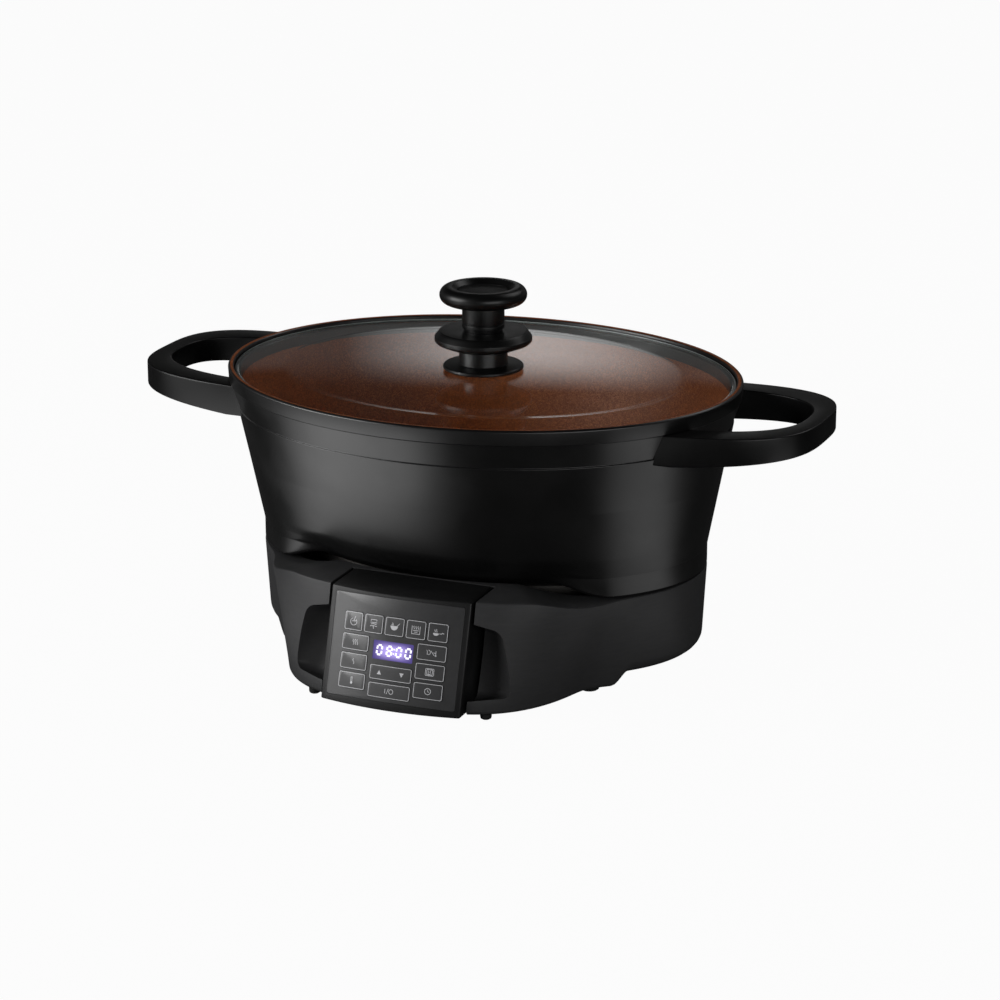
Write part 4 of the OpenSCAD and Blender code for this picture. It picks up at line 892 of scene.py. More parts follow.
def handle_section(q):
    """Rounded section of the bar at the angle q, as points about the pot's axis."""
    outer = loop_point(q, HANDLE_REACH - HANDLE_X, HANDLE_W, LOOP_POWER)
    inner = loop_point(q, HANDLE_REACH - BAR_END - HANDLE_X, HANDLE_W - BAR_ARM, GAP_POWER)
    width = math.dist(outer, inner)
    corners = []
    for (x, y), d, levels in ((outer, 0, (0, 1)), (inner, width, (1, 0))):
        run = (x - HANDLE_ROOT_X) / HANDLE_LENGTH
        low = HANDLE_TOP_Z - HANDLE_H + HANDLE_UNDER_RISE * max(0, run)
        high = HANDLE_TOP_Z + HANDLE_RISE * run
        corners += [(d, between(low, high, level), HANDLE_EDGE) for level in levels]
    section = []
    for d, z in rounded(corners, closed=True, arc_points=5):
        s = d / width
        section.append((between(outer[0], inner[0], s), between(outer[1], inner[1], s), z))
    return section


print("handle's section:", len(handle_section(0)), "points")

# %% Handles
def wall_gap(x, y, z):
    """How far a point is outside the pot's wall, roughly, in millimetres."""
    t = math.atan2(y, x)
    if z < BAND_Z - BAND_STEP:
        wall = body_r(t, z)
    else:
        taper = BAND_TAPER * min(1, max(0, (z - BAND_Z) / (LIP_LOW_Z - BAND_STEP - BAND_Z)))
        step = BAND_STEP + LIP_INSET if z > LIP_LOW_Z - BAND_STEP / 2 else 0
        wall = oval_r(t, BAND_A + taper + step, BAND_B + taper + step)
    return math.hypot(x, y) - wall - HANDLE_SEAM


def root_angle(line):
    """Angle at which one line of the section meets the pot's wall."""
    free, inside = math.radians(45), math.radians(90)
    for _ in range(ROOT_TRIES):
        middle = (free + inside) / 2
        if wall_gap(*handle_section(middle)[line]) > 0:
            free = middle
        else:
            inside = middle
    return free


def handle_mesh(name, side):
    """Mesh of one loop; side is 1 for the right one and -1 for the left one."""
    lines = []
    for line in range(len(handle_section(0))):
        short = math.radians(90) - root_angle(line)
        row = []
        for i in range(2 * HANDLE_STEPS + 1):
            s = i / HANDLE_STEPS - 1
            q = s * (math.radians(90) - short * s ** 4)
            x, y, z = handle_section(q)[line]
            row.append(place(side * x, y, z))
        lines.append(row)
    return loft(name, lines)


for side_name, side in (("right", 1), ("left", -1)):
    loop_name = "handle_loop_" + side_name
    loop_mesh = handle_mesh(loop_name, side)
    add_piece(loop_name, loop_mesh, [handle_satin], "pot", "handle_plastic", "pot_handle_" + side_name)

# %% [markdown]
# ## The base
#
# The base is a moulded shell: a thin wall with a lip turned in below and a deck with an oval well above. Its
# height and its foot change round the oval, so it is a loft of a closed profile, like the pot.

# %% Base shell
WALL_T, LIP_W, LIP_T = 3.2, 14, 3
END_EDGE_R, BULGE_EDGE_R, TOP_EDGE_R = 9, 3, 1.5
WELL_A, WELL_B, SKIRT_T, SKIRT_Z = 150, 104, 2.5, 58
BASE_TURNS = 360


def base_corners(t):
    """Closed profile of the base's shell."""
    top, foot = base_top(t), base_foot(t)
    edge = between(END_EDGE_R, BULGE_EDGE_R, bulge_share(t))
    low = foot + edge
    wall = base_r(t, low)
    well = oval_r(t, WELL_A, WELL_B)
    corners = [(wall - edge - LIP_W, foot, 0.5)]
    for q in (math.radians(15 * k - 90) for k in range(7)):
        corners.append((wall - edge + edge * math.cos(q), low + edge * math.sin(q), 0))
    for share in (0.25, 0.5, 0.75):
        z = between(low, top, share)
        corners.append((base_r(t, z), z, 0))
    corners += [(base_r(t, top), top, TOP_EDGE_R), (well + 2, top, 1), (well, top - 2, 1),
        (well, SKIRT_Z, 0.6), (well + SKIRT_T, SKIRT_Z, 0.6), (well + SKIRT_T, top - LIP_T, 0.6),
        (base_r(t, top - LIP_T) - WALL_T, top - LIP_T, 0.6)]
    for share in (0.66, 0.33):
        z = between(low, top - LIP_T, share)
        corners.append((base_r(t, z) - WALL_T, z, 0))
    corners += [(base_r(t, low + 1) - WALL_T, low + 1, 0.5),
        (wall - max(edge, WALL_T + 0.8), foot + LIP_T, 0.5), (wall - edge - LIP_W, foot + LIP_T, 0.5)]
    return corners


base_mesh = loft("base_shell", around(BASE_TURNS, lambda t: rounded(base_corners(t), closed=True)), closed=True)
print("base shell", len(base_mesh.polygons), "faces before its cuts")

# %% [markdown]
# ### Cuts in the base
#
# The slot for the key panel, two finger pockets beside it, the rear vents and a round inlet are cut out. Loops
# could be modelled into the wall by hand, but cuts like these are the case for a Boolean modifier with the
# exact solver. The pockets would open into the hollow shell, so a skin behind each one is joined on first. They
# lean with the panel, so the panel's own axes are set up before them.

# %% Axes of the leaning panel
PANEL_TILT = math.radians(16)
PANEL_Y, PANEL_FOOT_Z, PANEL_TOP_Z = -165.5, 3.6, BULGE_TOP[1]
PANEL_W, BOW_R = 104, 235
BOW_AXIS_W = -math.sqrt(BOW_R ** 2 - PANEL_W ** 2 / 4)


def panel_point(u, v, w):
    """Point of the frame, from places across, up and out of the leaning panel."""
    lean, rise = math.sin(PANEL_TILT), math.cos(PANEL_TILT)
    return place(u, PANEL_Y + v * lean - w * rise, PANEL_FOOT_Z + v * rise + w * lean)


def face_point(arc, v, lift):
    """Point over the bowed face: a distance round it, a height and a lift off it."""
    turn = arc / BOW_R
    return panel_point((BOW_R + lift) * math.sin(turn), v, BOW_AXIS_W + (BOW_R + lift) * math.cos(turn))


print("panel's bow:", round(BOW_R + BOW_AXIS_W, 1), "mm proud in the middle")

# %% Finger pockets
POCKET_R, POCKET_REACH, POCKET_LEAN = 24, 80.5, math.radians(19.2)
POCKET_V0, POCKET_V1, POCKET_SKIN = 13.5, 64, 2.6
POCKET_ROUND, POCKET_STEPS, POCKET_HALF = 6, 96, 60
# the slanting ends: how far they lie beyond the pocket's height at two places across it
SLANT_X, LOW_SLANT, HIGH_SLANT = (-28, 12), (-2, 6), (1, -6)


def pocket_mesh(side, grow, name):
    """Leaning round bar with slanting ends: what a finger pocket cuts away."""
    middle_v = (POCKET_V0 + POCKET_V1) / 2
    radius, stretch = POCKET_R + grow, 1 / math.cos(POCKET_LEAN)
    shape = bmesh.new()
    rings = []
    for end in (-POCKET_HALF, POCKET_HALF):
        ring = []
        for k in range(POCKET_STEPS):
            a = 2 * math.pi * k / POCKET_STEPS
            x = POCKET_REACH - POCKET_R + radius * math.cos(a) * stretch
            ring.append(shape.verts.new((x, middle_v + end, radius * math.sin(a))))
        rings.append(ring)
    for k in range(POCKET_STEPS):
        n = (k + 1) % POCKET_STEPS
        shape.faces.new((rings[0][k], rings[0][n], rings[1][n], rings[1][k]))
    for vert in shape.verts:
        vert.co.x -= (vert.co.y - middle_v) * math.tan(POCKET_LEAN)
    ax, bx = (POCKET_REACH + x for x in SLANT_X)
    for end_v, slant, sign in ((POCKET_V0, LOW_SLANT, -1), (POCKET_V1, HIGH_SLANT, 1)):
        ay, by = (end_v + shift + sign * grow for shift in slant)
        normal = Vector((ay - by, bx - ax, 0)) * sign
        parts = shape.verts[:] + shape.edges[:] + shape.faces[:]
        cut = bmesh.ops.bisect_plane(shape, geom=parts, plane_co=(ax, ay, 0), plane_no=normal, clear_outer=True)
        rim = [e for e in cut["geom_cut"] if isinstance(e, bmesh.types.BMEdge)]
        bmesh.ops.contextual_create(shape, geom=rim)
        soft = POCKET_ROUND - 0.3 * grow
        bmesh.ops.bevel(shape, geom=rim, offset=soft, segments=5, profile=0.5, affect="EDGES")
    for vert in shape.verts:
        vert.co = panel_point(side * vert.co.x, vert.co.y, vert.co.z)
    shape.normal_update()
    bmesh.ops.recalc_face_normals(shape, faces=shape.faces)
    mesh = bpy.data.meshes.new(name)
    shape.to_mesh(mesh)
    shape.free()
    return mesh


pockets = [pocket_mesh(side, 0, "pocket") for side in (1, -1)]
print("pocket cutters", [len(pocket.polygons) for pocket in pockets], "faces")

# %% Carving helpers
def block_mesh(name, low, high, to_point=place):
    """Closed block between two corners."""
    spots = [(x, y, z) for x in (low[0], high[0]) for y in (low[1], high[1]) for z in (low[2], high[2])]
    mesh = bpy.data.meshes.new(name)
    faces = [(0, 1, 3, 2), (4, 6, 7, 5), (0, 4, 5, 1), (2, 3, 7, 6), (0, 2, 6, 4), (1, 5, 7, 3)]
    mesh.from_pydata([to_point(*spot) for spot in spots], [], faces)
    return finish_mesh(mesh)


def carve(mesh, operation, tools):
    """Joins, cuts or keeps a mesh by each tool mesh in turn, with the exact solver."""
    scratch = bpy.data.collections.new("carving")
    scene.collection.children.link(scratch)
    work = bpy.data.objects.new("work", mesh)
    scratch.objects.link(work)
    for number, tool_mesh in enumerate(tools):
        tool = bpy.data.objects.new("tool_%d" % number, tool_mesh)
        scratch.objects.link(tool)
        step = work.modifiers.new("step_%d" % number, "BOOLEAN")
        step.operation = operation
        step.solver = "EXACT"
        step.object = tool
    bpy.context.view_layer.update()
    result = bpy.data.meshes.new_from_object(work.evaluated_get(bpy.context.evaluated_depsgraph_get()))
    for leftover in scratch.objects[:]:
        bpy.data.objects.remove(leftover)
    bpy.data.collections.remove(scratch)
    return result


print("carving helpers made")

# %% Skins behind the pockets
CORE_TURNS = 180


def base_core(t):
    """Two ends of the solid form inside the base's outer wall."""
    inset = WALL_T / 2
    low, high = base_foot(t) + inset, base_top(t) - inset
    return [(base_r(t, low) - inset, low), (base_r(t, high) - inset, high)]


core_mesh = loft("base_core", around(CORE_TURNS, base_core))
skins = []
for side in (1, -1):
    thick_pocket = pocket_mesh(side, POCKET_SKIN, "pocket_skin")
    skins.append(carve(core_mesh.copy(), "INTERSECT", [thick_pocket]))
print("pocket skins", [len(skin.polygons) for skin in skins], "faces")

# %% Carve the base
SLOT_HALF_W, SLOT_BACK_Y, SLOT_DEPTH, SLOT_Z = PANEL_W / 2 + 2.3, -107, 100, (-1, 119)
VENT_START, VENT_PITCH, VENT_COUNT = -40, 9, 8
VENT_W, VENT_Y, VENT_Z = 3.2, (130, 190), (24, 46)
GLAND_T, GLAND_Z, GLAND_R, GLAND_REACH, GLAND_STEPS = math.radians(66), 34, 8.1, 12, 64
CUT_CREASE = 32


def gland_cutter():
    """Round bar square to the rear wall, for the inlet."""
    def wall_spot(t, z):
        """Point of the base's wall."""
        return Vector((base_r(t, z) * math.cos(t), base_r(t, z) * math.sin(t), z))

    middle = wall_spot(GLAND_T, GLAND_Z)
    turn = math.radians(1)
    along = (wall_spot(GLAND_T - turn, GLAND_Z) - wall_spot(GLAND_T + turn, GLAND_Z)).normalized()
    upward = (wall_spot(GLAND_T, GLAND_Z + 1) - middle).normalized()
    out = upward.cross(along).normalized()
    up = along.cross(out)
    lines = []
    for k in range(GLAND_STEPS):
        a = 2 * math.pi * k / GLAND_STEPS
        side = GLAND_R * (math.cos(a) * along + math.sin(a) * up)
        lines.append([place(*(middle + side + reach * out)) for reach in (-GLAND_REACH, GLAND_REACH)])
    return loft("gland_cutter", lines)


vents = []
for i in range(VENT_COUNT):
    x = VENT_START + i * VENT_PITCH
    vents.append(block_mesh("vent", (x, VENT_Y[0], VENT_Z[0]), (x + VENT_W, VENT_Y[1], VENT_Z[1])))
slot_low = (-SLOT_HALF_W, SLOT_BACK_Y - SLOT_DEPTH, SLOT_Z[0])
slot_block = block_mesh("panel_slot", slot_low, (SLOT_HALF_W, SLOT_BACK_Y, SLOT_Z[1]))
base_joined = carve(base_mesh, "UNION", skins)
base_cut = carve(base_joined, "DIFFERENCE", [*pockets, slot_block, gland_cutter(), *vents])
finish_mesh(base_cut, CUT_CREASE)
add_piece("base_shell", base_cut, [base_matte], "base", "base_plastic", "base_housing")

# %% [markdown]
# ## The key panel
#
# The panel is a separate leaning box with a slightly bowed face, and a dark plate lies flush in it. A Bend
# modifier could bow the flat pieces, but its angle is hard to match between them. Flat shapes with rounded
# corners are easiest to draw in two dimensions, so one helper fills an outline with holes, gives it
# a thickness, cuts it into strips and then bends the strips round the bow.

# %% Bent sheets
def rounded_box(x, y, width, height, radius, points=5):
    """Outline of a rectangle with round corners."""
    path = []
    for quarter, (sx, sy) in enumerate(((1, 1), (-1, 1), (-1, -1), (1, -1))):
        cx, cy = x + sx * (width / 2 - radius), y + sy * (height / 2 - radius)
        for k in range(points):
            a = math.pi / 2 * (quarter + k / (points - 1))
            path.append((cx + radius * math.cos(a), cy + radius * math.sin(a)))
    return path


def bent_sheet(outline, holes, front, back, edge=0.0, strip=2.0):
    """Sheet cut to an outline with holes, its front edge rounded, bent round the panel's bow."""
    sheet = bmesh.new()
    rim = []
    for path in [outline, *holes]:
        verts = [sheet.verts.new((x, y, front)) for x, y in path]
        rim.append([sheet.edges.new(pair) for pair in zip(verts, verts[1:] + verts[:1])])
    bmesh.ops.triangle_fill(sheet, use_beauty=True, edges=sheet.edges[:], normal=(0, 0, 1))
    moved = bmesh.ops.extrude_face_region(sheet, geom=sheet.faces[:])["geom"]
    for vert in moved:
        if isinstance(vert, bmesh.types.BMVert):
            vert.co.z = back
    if edge:
        bmesh.ops.bevel(sheet, geom=rim[0], offset=edge, segments=3, profile=0.5, affect="EDGES",
            clamp_overlap=True)
    low, high = min(x for x, y in outline), max(x for x, y in outline)
    for k in range(1, int((high - low) / strip) + 1):
        parts = sheet.verts[:] + sheet.edges[:] + sheet.faces[:]
        cut = (low + k * strip, 0, 0)
        bmesh.ops.bisect_plane(sheet, geom=parts, dist=1e-4, plane_co=cut, plane_no=(1, 0, 0))
    for vert in sheet.verts:
        vert.co = face_point(*vert.co)
    return sheet


def joined_sheets(name, sheets, crease=30):
    """One mesh of several bent sheets."""
    whole = bmesh.new()
    for sheet in sheets:
        part = bpy.data.meshes.new("part")
        sheet.to_mesh(part)
        sheet.free()
        whole.from_mesh(part)
        bpy.data.meshes.remove(part)
    mesh = bpy.data.meshes.new(name)
    whole.to_mesh(mesh)
    whole.free()
    return finish_mesh(mesh, crease)


print("sheet helpers made")

# %% [markdown]
# ### The panel's box
#
# The box has a flat back, a bowed front and rounded edges all round. A bevelled cube would need its front bent
# afterwards, so the box is a stack of level outlines, each a little smaller at the rounded top and bottom. The
# seat of the plate and the opening behind the keys are then cut out.

# %% Panel box
PANEL_EDGE, PANEL_CORNER, FRONT_STEPS = 1.0, 1.2, 40
PANEL_BACK_Y = SLOT_BACK_Y - 0.2
PLATE_W, PLATE_H, PLATE_V, PLATE_T = 96.6, 71, 4.3, 1.2
PLATE_CORNER, PLATE_EDGE = 1.5, 0.25
SEAT_GAP, SEAT_CORNER, SEAT_FRONT, SEAT_SINK = 0.3, 1.6, 6, 0.05
OPENING_HALF_W, OPENING_MARGIN, OPENING_W = 46.4, 1.8, (-16, 30)
EDGE_LEVELS = 5


def panel_front_y(u, z):
    """How far back the bowed face is, across the panel and at a level."""
    w = BOW_AXIS_W + math.sqrt(BOW_R ** 2 - u ** 2)
    v = (z - PANEL_FOOT_Z - w * math.sin(PANEL_TILT)) / math.cos(PANEL_TILT)
    return PANEL_Y + v * math.sin(PANEL_TILT) - w * math.cos(PANEL_TILT)


def panel_outline(z, inset):
    """Level outline of the panel box, drawn in by an inset."""
    half = PANEL_W / 2 - inset
    corners = [(half, PANEL_BACK_Y - inset, PANEL_CORNER), (-half, PANEL_BACK_Y - inset, PANEL_CORNER)]
    for k in range(FRONT_STEPS + 1):
        u = between(-half, half, k / FRONT_STEPS)
        corners.append((u, panel_front_y(u, z) + inset, PANEL_CORNER if k in (0, FRONT_STEPS) else 0))
    return [place(x, y, z) for x, y in rounded(corners, closed=True)]


levels = []
for k in range(EDGE_LEVELS):
    q = math.radians(90 * k / (EDGE_LEVELS - 1))
    rise, inset = PANEL_EDGE * (1 - math.sin(q)), PANEL_EDGE * (1 - math.cos(q))
    levels += [(PANEL_FOOT_Z + rise, inset), (PANEL_TOP_Z - rise, inset)]
levels.sort()
panel_rings = list(zip(*(panel_outline(z, inset) for z, inset in levels)))
panel_mesh = loft("panel_box", panel_rings)
seat_outline = rounded_box(0, PLATE_V + PLATE_H / 2, PLATE_W + SEAT_GAP, PLATE_H + SEAT_GAP, SEAT_CORNER)
seat = joined_sheets("plate_seat", [bent_sheet(seat_outline, [], SEAT_FRONT, -PLATE_T - SEAT_SINK)])
opening_low = (-OPENING_HALF_W, PLATE_V + OPENING_MARGIN, OPENING_W[0])
opening_high = (OPENING_HALF_W, PLATE_V + PLATE_H - OPENING_MARGIN, OPENING_W[1])
opening = block_mesh("key_opening", opening_low, opening_high, panel_point)
panel_cut = finish_mesh(carve(panel_mesh, "DIFFERENCE", [seat, opening]), CUT_CREASE)
add_piece("panel_box", panel_cut, [panel_box_plastic], "base", "panel_plastic", "panel_housing")

# %% [markdown]
# ### Plate, window and keys
#
# The plate is a thin sheet with fourteen openings: one for the window and thirteen for the keys. Each key is
# a cap of its own that rides its own joint. Drawing the openings into the plate's outline costs less than
# cutting them, and a key takes its place and size from the same entry as its opening.

# %% Places of the keys
PROGRAM_PITCH, PROGRAM_V, PROGRAM_W, PROGRAM_H, PROGRAM_COUNT = 15.75, 56.4, 14.1, 12.7, 5
SIDE_U, SIDE_W, SIDE_H, SIDE_ROWS = 28.5, 20.8, 11, (42.2, 29, 15.8)
LONG_U, LONG_W, LONG_H, LONG_ROWS = 0.4, 31, 10, {"key_arrows": 24.2, "key_power": 12}
# the window and each key: middle across, middle up, width, height
WINDOW = (LONG_U, 39.4, 29.8, 12.9)
KEYS = {}
for i in range(PROGRAM_COUNT):
    across = (i - PROGRAM_COUNT // 2) * PROGRAM_PITCH
    KEYS["key_program_%d" % (i + 1)] = (across, PROGRAM_V, PROGRAM_W, PROGRAM_H)
for i, v in enumerate(SIDE_ROWS):
    KEYS["key_left_%d" % (i + 1)] = (-SIDE_U, v, SIDE_W, SIDE_H)
    KEYS["key_right_%d" % (i + 1)] = (SIDE_U, v, SIDE_W, SIDE_H)
for key, v in LONG_ROWS.items():
    KEYS[key] = (LONG_U, v, LONG_W, LONG_H)
print(len(KEYS), "keys placed")

# %% Plate, window and key caps
KEY_GAP, KEY_PROUD, KEY_DEPTH, KEY_CORNER, KEY_EDGE = 0.3, 0.4, 2.9, 1.2, 0.25
WINDOW_CORNER, PANE_GAP, PANE_SINK, PANE_CORNER = 0.8, 0.1, 0.12, 0.75

holes = []
for u, v, w, h in KEYS.values():
    holes.append(rounded_box(u, v, w + 2 * KEY_GAP, h + 2 * KEY_GAP, KEY_CORNER + KEY_GAP))
holes.append(rounded_box(*WINDOW, WINDOW_CORNER))
plate_outline = rounded_box(0, PLATE_V + PLATE_H / 2, PLATE_W, PLATE_H, PLATE_CORNER)
plate_mesh = joined_sheets("panel_face", [bent_sheet(plate_outline, holes, 0, -PLATE_T, PLATE_EDGE)])
add_piece("panel_face", plate_mesh, [plate_film], "base", "plate_film", "panel_plate")
pane_outline = rounded_box(*WINDOW[:2], WINDOW[2] - PANE_GAP, WINDOW[3] - PANE_GAP, PANE_CORNER)
pane_mesh = joined_sheets("window_pane", [bent_sheet(pane_outline, [], -PANE_SINK, -PLATE_T)])
add_piece("window_pane", pane_mesh, [window_glow], "base", "window_glass", "display_window")
for key, (u, v, w, h) in KEYS.items():
    cap = bent_sheet(rounded_box(u, v, w, h, KEY_CORNER), [], KEY_PROUD, -KEY_DEPTH, KEY_EDGE)
    add_piece(key + "_cap", joined_sheets(key + "_cap", [cap]), [key_film], key, "key_plastic", key)

# %% [markdown]
# ## Signs and digits
#
# Each key carries a thin silver frame and a small sign, printed a few hundredths of a millimetre thick. They
# could be a mask in the key's material, but a drawn sign stays sharp at any distance. The signs are drawn as
# strokes: a list of points and a width becomes a ribbon, which the sheet helper bends onto the face.

# %% Strokes
def ribbon(path, width, closed=False):
    """Outline and holes of a stroke of one width along a path."""
    left, right = [], []
    count = len(path)
    for i, (x, y) in enumerate(path):
        before = path[i - 1] if i or closed else path[i]
        after = path[(i + 1) % count] if i < count - 1 or closed else path[i]
        first = Vector((x - before[0], y - before[1]))
        second = Vector((after[0] - x, after[1] - y))
        along = (first.normalized() if first.length else second.normalized()) + (
            second.normalized() if second.length else first.normalized())
        along.normalize()
        lead = second if second.length else first
        widen = min(2.0, 1 / max(0.5, abs(along.dot(lead.normalized()))))
        dx, dy = -along.y * width / 2 * widen, along.x * width / 2 * widen
        left.append((x + dx, y + dy))
        right.append((x - dx, y - dy))
    if closed:
        return (right, [left])
    return (left + right[::-1], [])


def arc(x, y, rx, ry, start, end, steps=14):
    """Points of an arc between two angles in degrees."""
    spread = [math.radians(between(start, end, k / steps)) for k in range(steps + 1)]
    return [(x + rx * math.cos(a), y + ry * math.sin(a)) for a in spread]


def ring_path(x, y, rx, ry, steps=28):
    """Points of a whole ring."""
    return arc(x, y, rx, ry, 0, 360, steps)[:-1]


def wave(x, y, height, swing=0.45, steps=12):
    """Upright wavy line, as for rising steam."""
    return [(x + swing * math.sin(2 * math.pi * k / steps), y + height * k / steps) for k in range(steps + 1)]


print("a wave of height 4:", len(wave(0, 0, 4)), "points")

# %% Shapes of the signs
# open strokes, closed strokes and filled shapes of each key, about its middle
SIGNS = {
    "key_program_1": [arc(0, -0.4, 2.5, 2.5, 110, 400), [(-1.4, -0.2), (2.6, 0.3)], [(0.2, 0.4), (1.2, 3.4)]],
    "key_program_2": [[(-2.2, 1.8), (-2.2, 2.9), (2.2, 2.9), (2.2, 1.8)], [(-2.6, 0.9), (2.6, 0.9)],
        [(-2.2, -0.3), (0, 0.1), (2.2, -0.3)], [(-2.6, -1.6), (0, -1.2), (2.6, -1.6)], wave(0, -3.2, 1.6, 0.3)],
    "key_program_3": [[(1.8, 0.6), (3.8, 2.6)], [(-2.4, 1.3), (-0.6, 1.1)], wave(-1.4, 1.5, 1.2, 0.25)],
    "key_program_4": [[(-2.9, 2.6), (-2.9, -2.8), (2.9, -2.8), (2.9, 2.6)], wave(-1.5, 0.3, 2.3, 0.3),
        wave(0, 0.3, 2.3, 0.3), wave(1.5, 0.3, 2.3, 0.3), [(-2, -0.5), (2, -0.5)], [(-1.2, -1.6), (1.2, -1.6)]],
    "key_program_5": [[(0.9, -0.6), (2.6, -0.6), (3.1, 0.1), (4.4, -0.3)], wave(-2.2, 0.2, 1.7, 0.25),
        wave(-1, 0.2, 2.1, 0.25)],
    "key_left_1": [wave(-1.5, -1.9, 3.8, 0.5), wave(0, -1.9, 3.8, 0.5), wave(1.5, -1.9, 3.8, 0.5)],
    "key_left_2": [wave(0, -1.9, 3.8, 0.5)],
    "key_left_3": [[(-0.45, -1), (-0.45, 2.3), (0.45, 2.3), (0.45, -1)]],
    "key_right_1": [[(-3.6, 1.7), (-3, 0.5), (-3, -1.5)], arc(-2.8, 0.2, 2, 1.6, -80, 80),
        [(-0.6, 1.4), (2, -1.7)], [(1.2, 0.2), (2.8, 0.2)], [(3, 1.7), (3, -1.6)]],
    "key_right_2": [[(-0.9, 1.2), (-0.9, -1.3), (0.8, -1.3)], [(0.9, 1.3), (0.2, 0), (0.9, -0.6)]],
    "key_right_3": [[(0, 1.3), (0, 0), (1.1, -0.4)]],
    "key_power": [[(-2.6, -1.5), (-2.6, 1.5)], [(-1.4, -1.9), (-0.1, 1.9)]],
}
LOOPS = {
    "key_right_2": [rounded_box(0, 0, 5.8, 4.8, 0.6), rounded_box(0, 0, 4, 3.6, 0.4)],
    "key_right_3": [ring_path(0, 0, 2.1, 2.1)],
    "key_power": [ring_path(1.9, 0, 1.5, 1.6)],
}
SOLIDS = {
    "key_program_3": [arc(-0.2, 0.6, 2.8, 3, 180, 360)],
    "key_program_5": [[(-3.4, -0.4), *arc(-1.4, -0.7, 2, 1.5, 190, 350), (0.6, -0.4)]],
    "key_left_3": [ring_path(0, -1.6, 0.9, 0.9, 16)],
    "key_right_1": [ring_path(3, -1.6, 0.6, 0.6, 12)],
    "key_arrows": [[(-9.9, -1.4), (-6.7, -1.4), (-8.3, 1.5)], [(6.7, 1.4), (8.3, -1.5), (9.9, 1.4)]],
}


print(len(set(SIGNS) | set(LOOPS) | set(SOLIDS)), "keys have a sign")

# %% Print on the keys
SIGN_W, SIGN_T = 0.4, 0.05
FRAME_INSET, FRAME_W = 0.35, 0.38
FRAME_CORNER = KEY_CORNER - FRAME_INSET + 0.2


def moved_path(path, u, v):
    """A sign's path, moved to its key."""
    return [(u + x, v + y) for x, y in path]


for key, (u, v, w, h) in KEYS.items():
    top = KEY_PROUD + SIGN_T
    frame_path = rounded_box(u, v, w - 2 * FRAME_INSET, h - 2 * FRAME_INSET, FRAME_CORNER)
    shapes = [ribbon(frame_path, FRAME_W, closed=True)]
    shapes += [ribbon(moved_path(path, u, v), SIGN_W) for path in SIGNS.get(key, [])]
    shapes += [ribbon(moved_path(path, u, v), SIGN_W, closed=True) for path in LOOPS.get(key, [])]
    shapes += [(moved_path(path, u, v), []) for path in SOLIDS.get(key, [])]
    sheets = [bent_sheet(outline, holes, top, KEY_PROUD - SIGN_T) for outline, holes in shapes]
    add_piece(key + "_print", joined_sheets(key + "_print", sheets), [silver_print], key, "key_plastic")

# %% [markdown]
# ### The clock
#
# Behind the window four glowing digits and a colon show a time. Text objects would do, but digits of seven
# segments are only bars, so they are ribbons too. Each segment is a step between two corners of a grid that is
# one cell wide and two high, and it is trimmed at both ends to leave the dark joints between segments.

# %% Clock digits
DIGIT_W, DIGIT_H, DIGIT_BAR, DIGIT_SLANT = 3.5, 6.4, 1.3, 0.08
DIGIT_TRIM, DIGIT_FRONT, DIGIT_BACK = 0.4 * DIGIT_BAR, -0.06, -0.2
COLON_X, COLON_RISE, DOT_W, DOT_CORNER = 0.8, 1.5, 1, 0.2
SEGMENTS = {"a": (0, 2, 1, 2), "b": (1, 2, 1, 1), "c": (1, 1, 1, 0), "d": (0, 0, 1, 0), "e": (0, 0, 0, 1),
    "f": (0, 1, 0, 2), "g": (0, 1, 1, 1)}
LIT = {"0": "abcdef", "8": "abcdefg"}
CLOCK = [("0", -10), ("8", -2.6), ("0", 4.4), ("0", 11.3)]


def digit_place(x, y):
    """A point of the slanting digits on the panel's face."""
    return WINDOW[0] + x + DIGIT_SLANT * y, WINDOW[1] + y


bars = []
for character, middle in CLOCK:
    left_edge = middle - DIGIT_W / 2
    for name in LIT[character]:
        x0, y0, x1, y1 = SEGMENTS[name]
        start = Vector((left_edge + x0 * DIGIT_W, (y0 - 1) * DIGIT_H / 2))
        end = Vector((left_edge + x1 * DIGIT_W, (y1 - 1) * DIGIT_H / 2))
        trim = (end - start).normalized() * DIGIT_TRIM
        bars.append(ribbon([digit_place(*(start + trim)), digit_place(*(end - trim))], DIGIT_BAR))
for y in (-COLON_RISE, COLON_RISE):
    bars.append((rounded_box(*digit_place(COLON_X, y), DOT_W, DOT_W, DOT_CORNER), []))
sheets = [bent_sheet(outline, holes, DIGIT_FRONT, DIGIT_BACK) for outline, holes in bars]
digit_mesh = joined_sheets("display_digits", sheets)
add_piece("display_digits", digit_mesh, [digit_glow], "base", "display_plastic")

# %% [markdown]
# ## The lid
#
# The lid is one sheet of toughened glass, slightly domed, with a straight border that falls to a ground, round
# edge. A flattened sphere with a Solidify modifier comes close, but its border would be round too. The glass is
# a closed profile lofted round the axis with oval distances, and it needs both of its faces, because light is
# bent at each of them.

# %% Lid glass
LID_GAP, LID_REST = 0.6, 0.3
LID_A, LID_B = INNER_A - LID_GAP, INNER_B - LID_GAP
LID_LOW_Z = RIM_Z - LID_STEP + LID_REST
GLASS_T, GLASS_EDGE, LID_HOLE_R = 4, 1.6, 3.6
DOME_RISE, DOME_SHARE = 2.8, 0.8
BORDER_RISE, BORDER_SHARES = 0.7 * DOME_RISE, (DOME_SHARE + 0.004, 0.98)
DOME_STEPS, BORDER_STEPS, LID_TURNS = 30, 8, 256


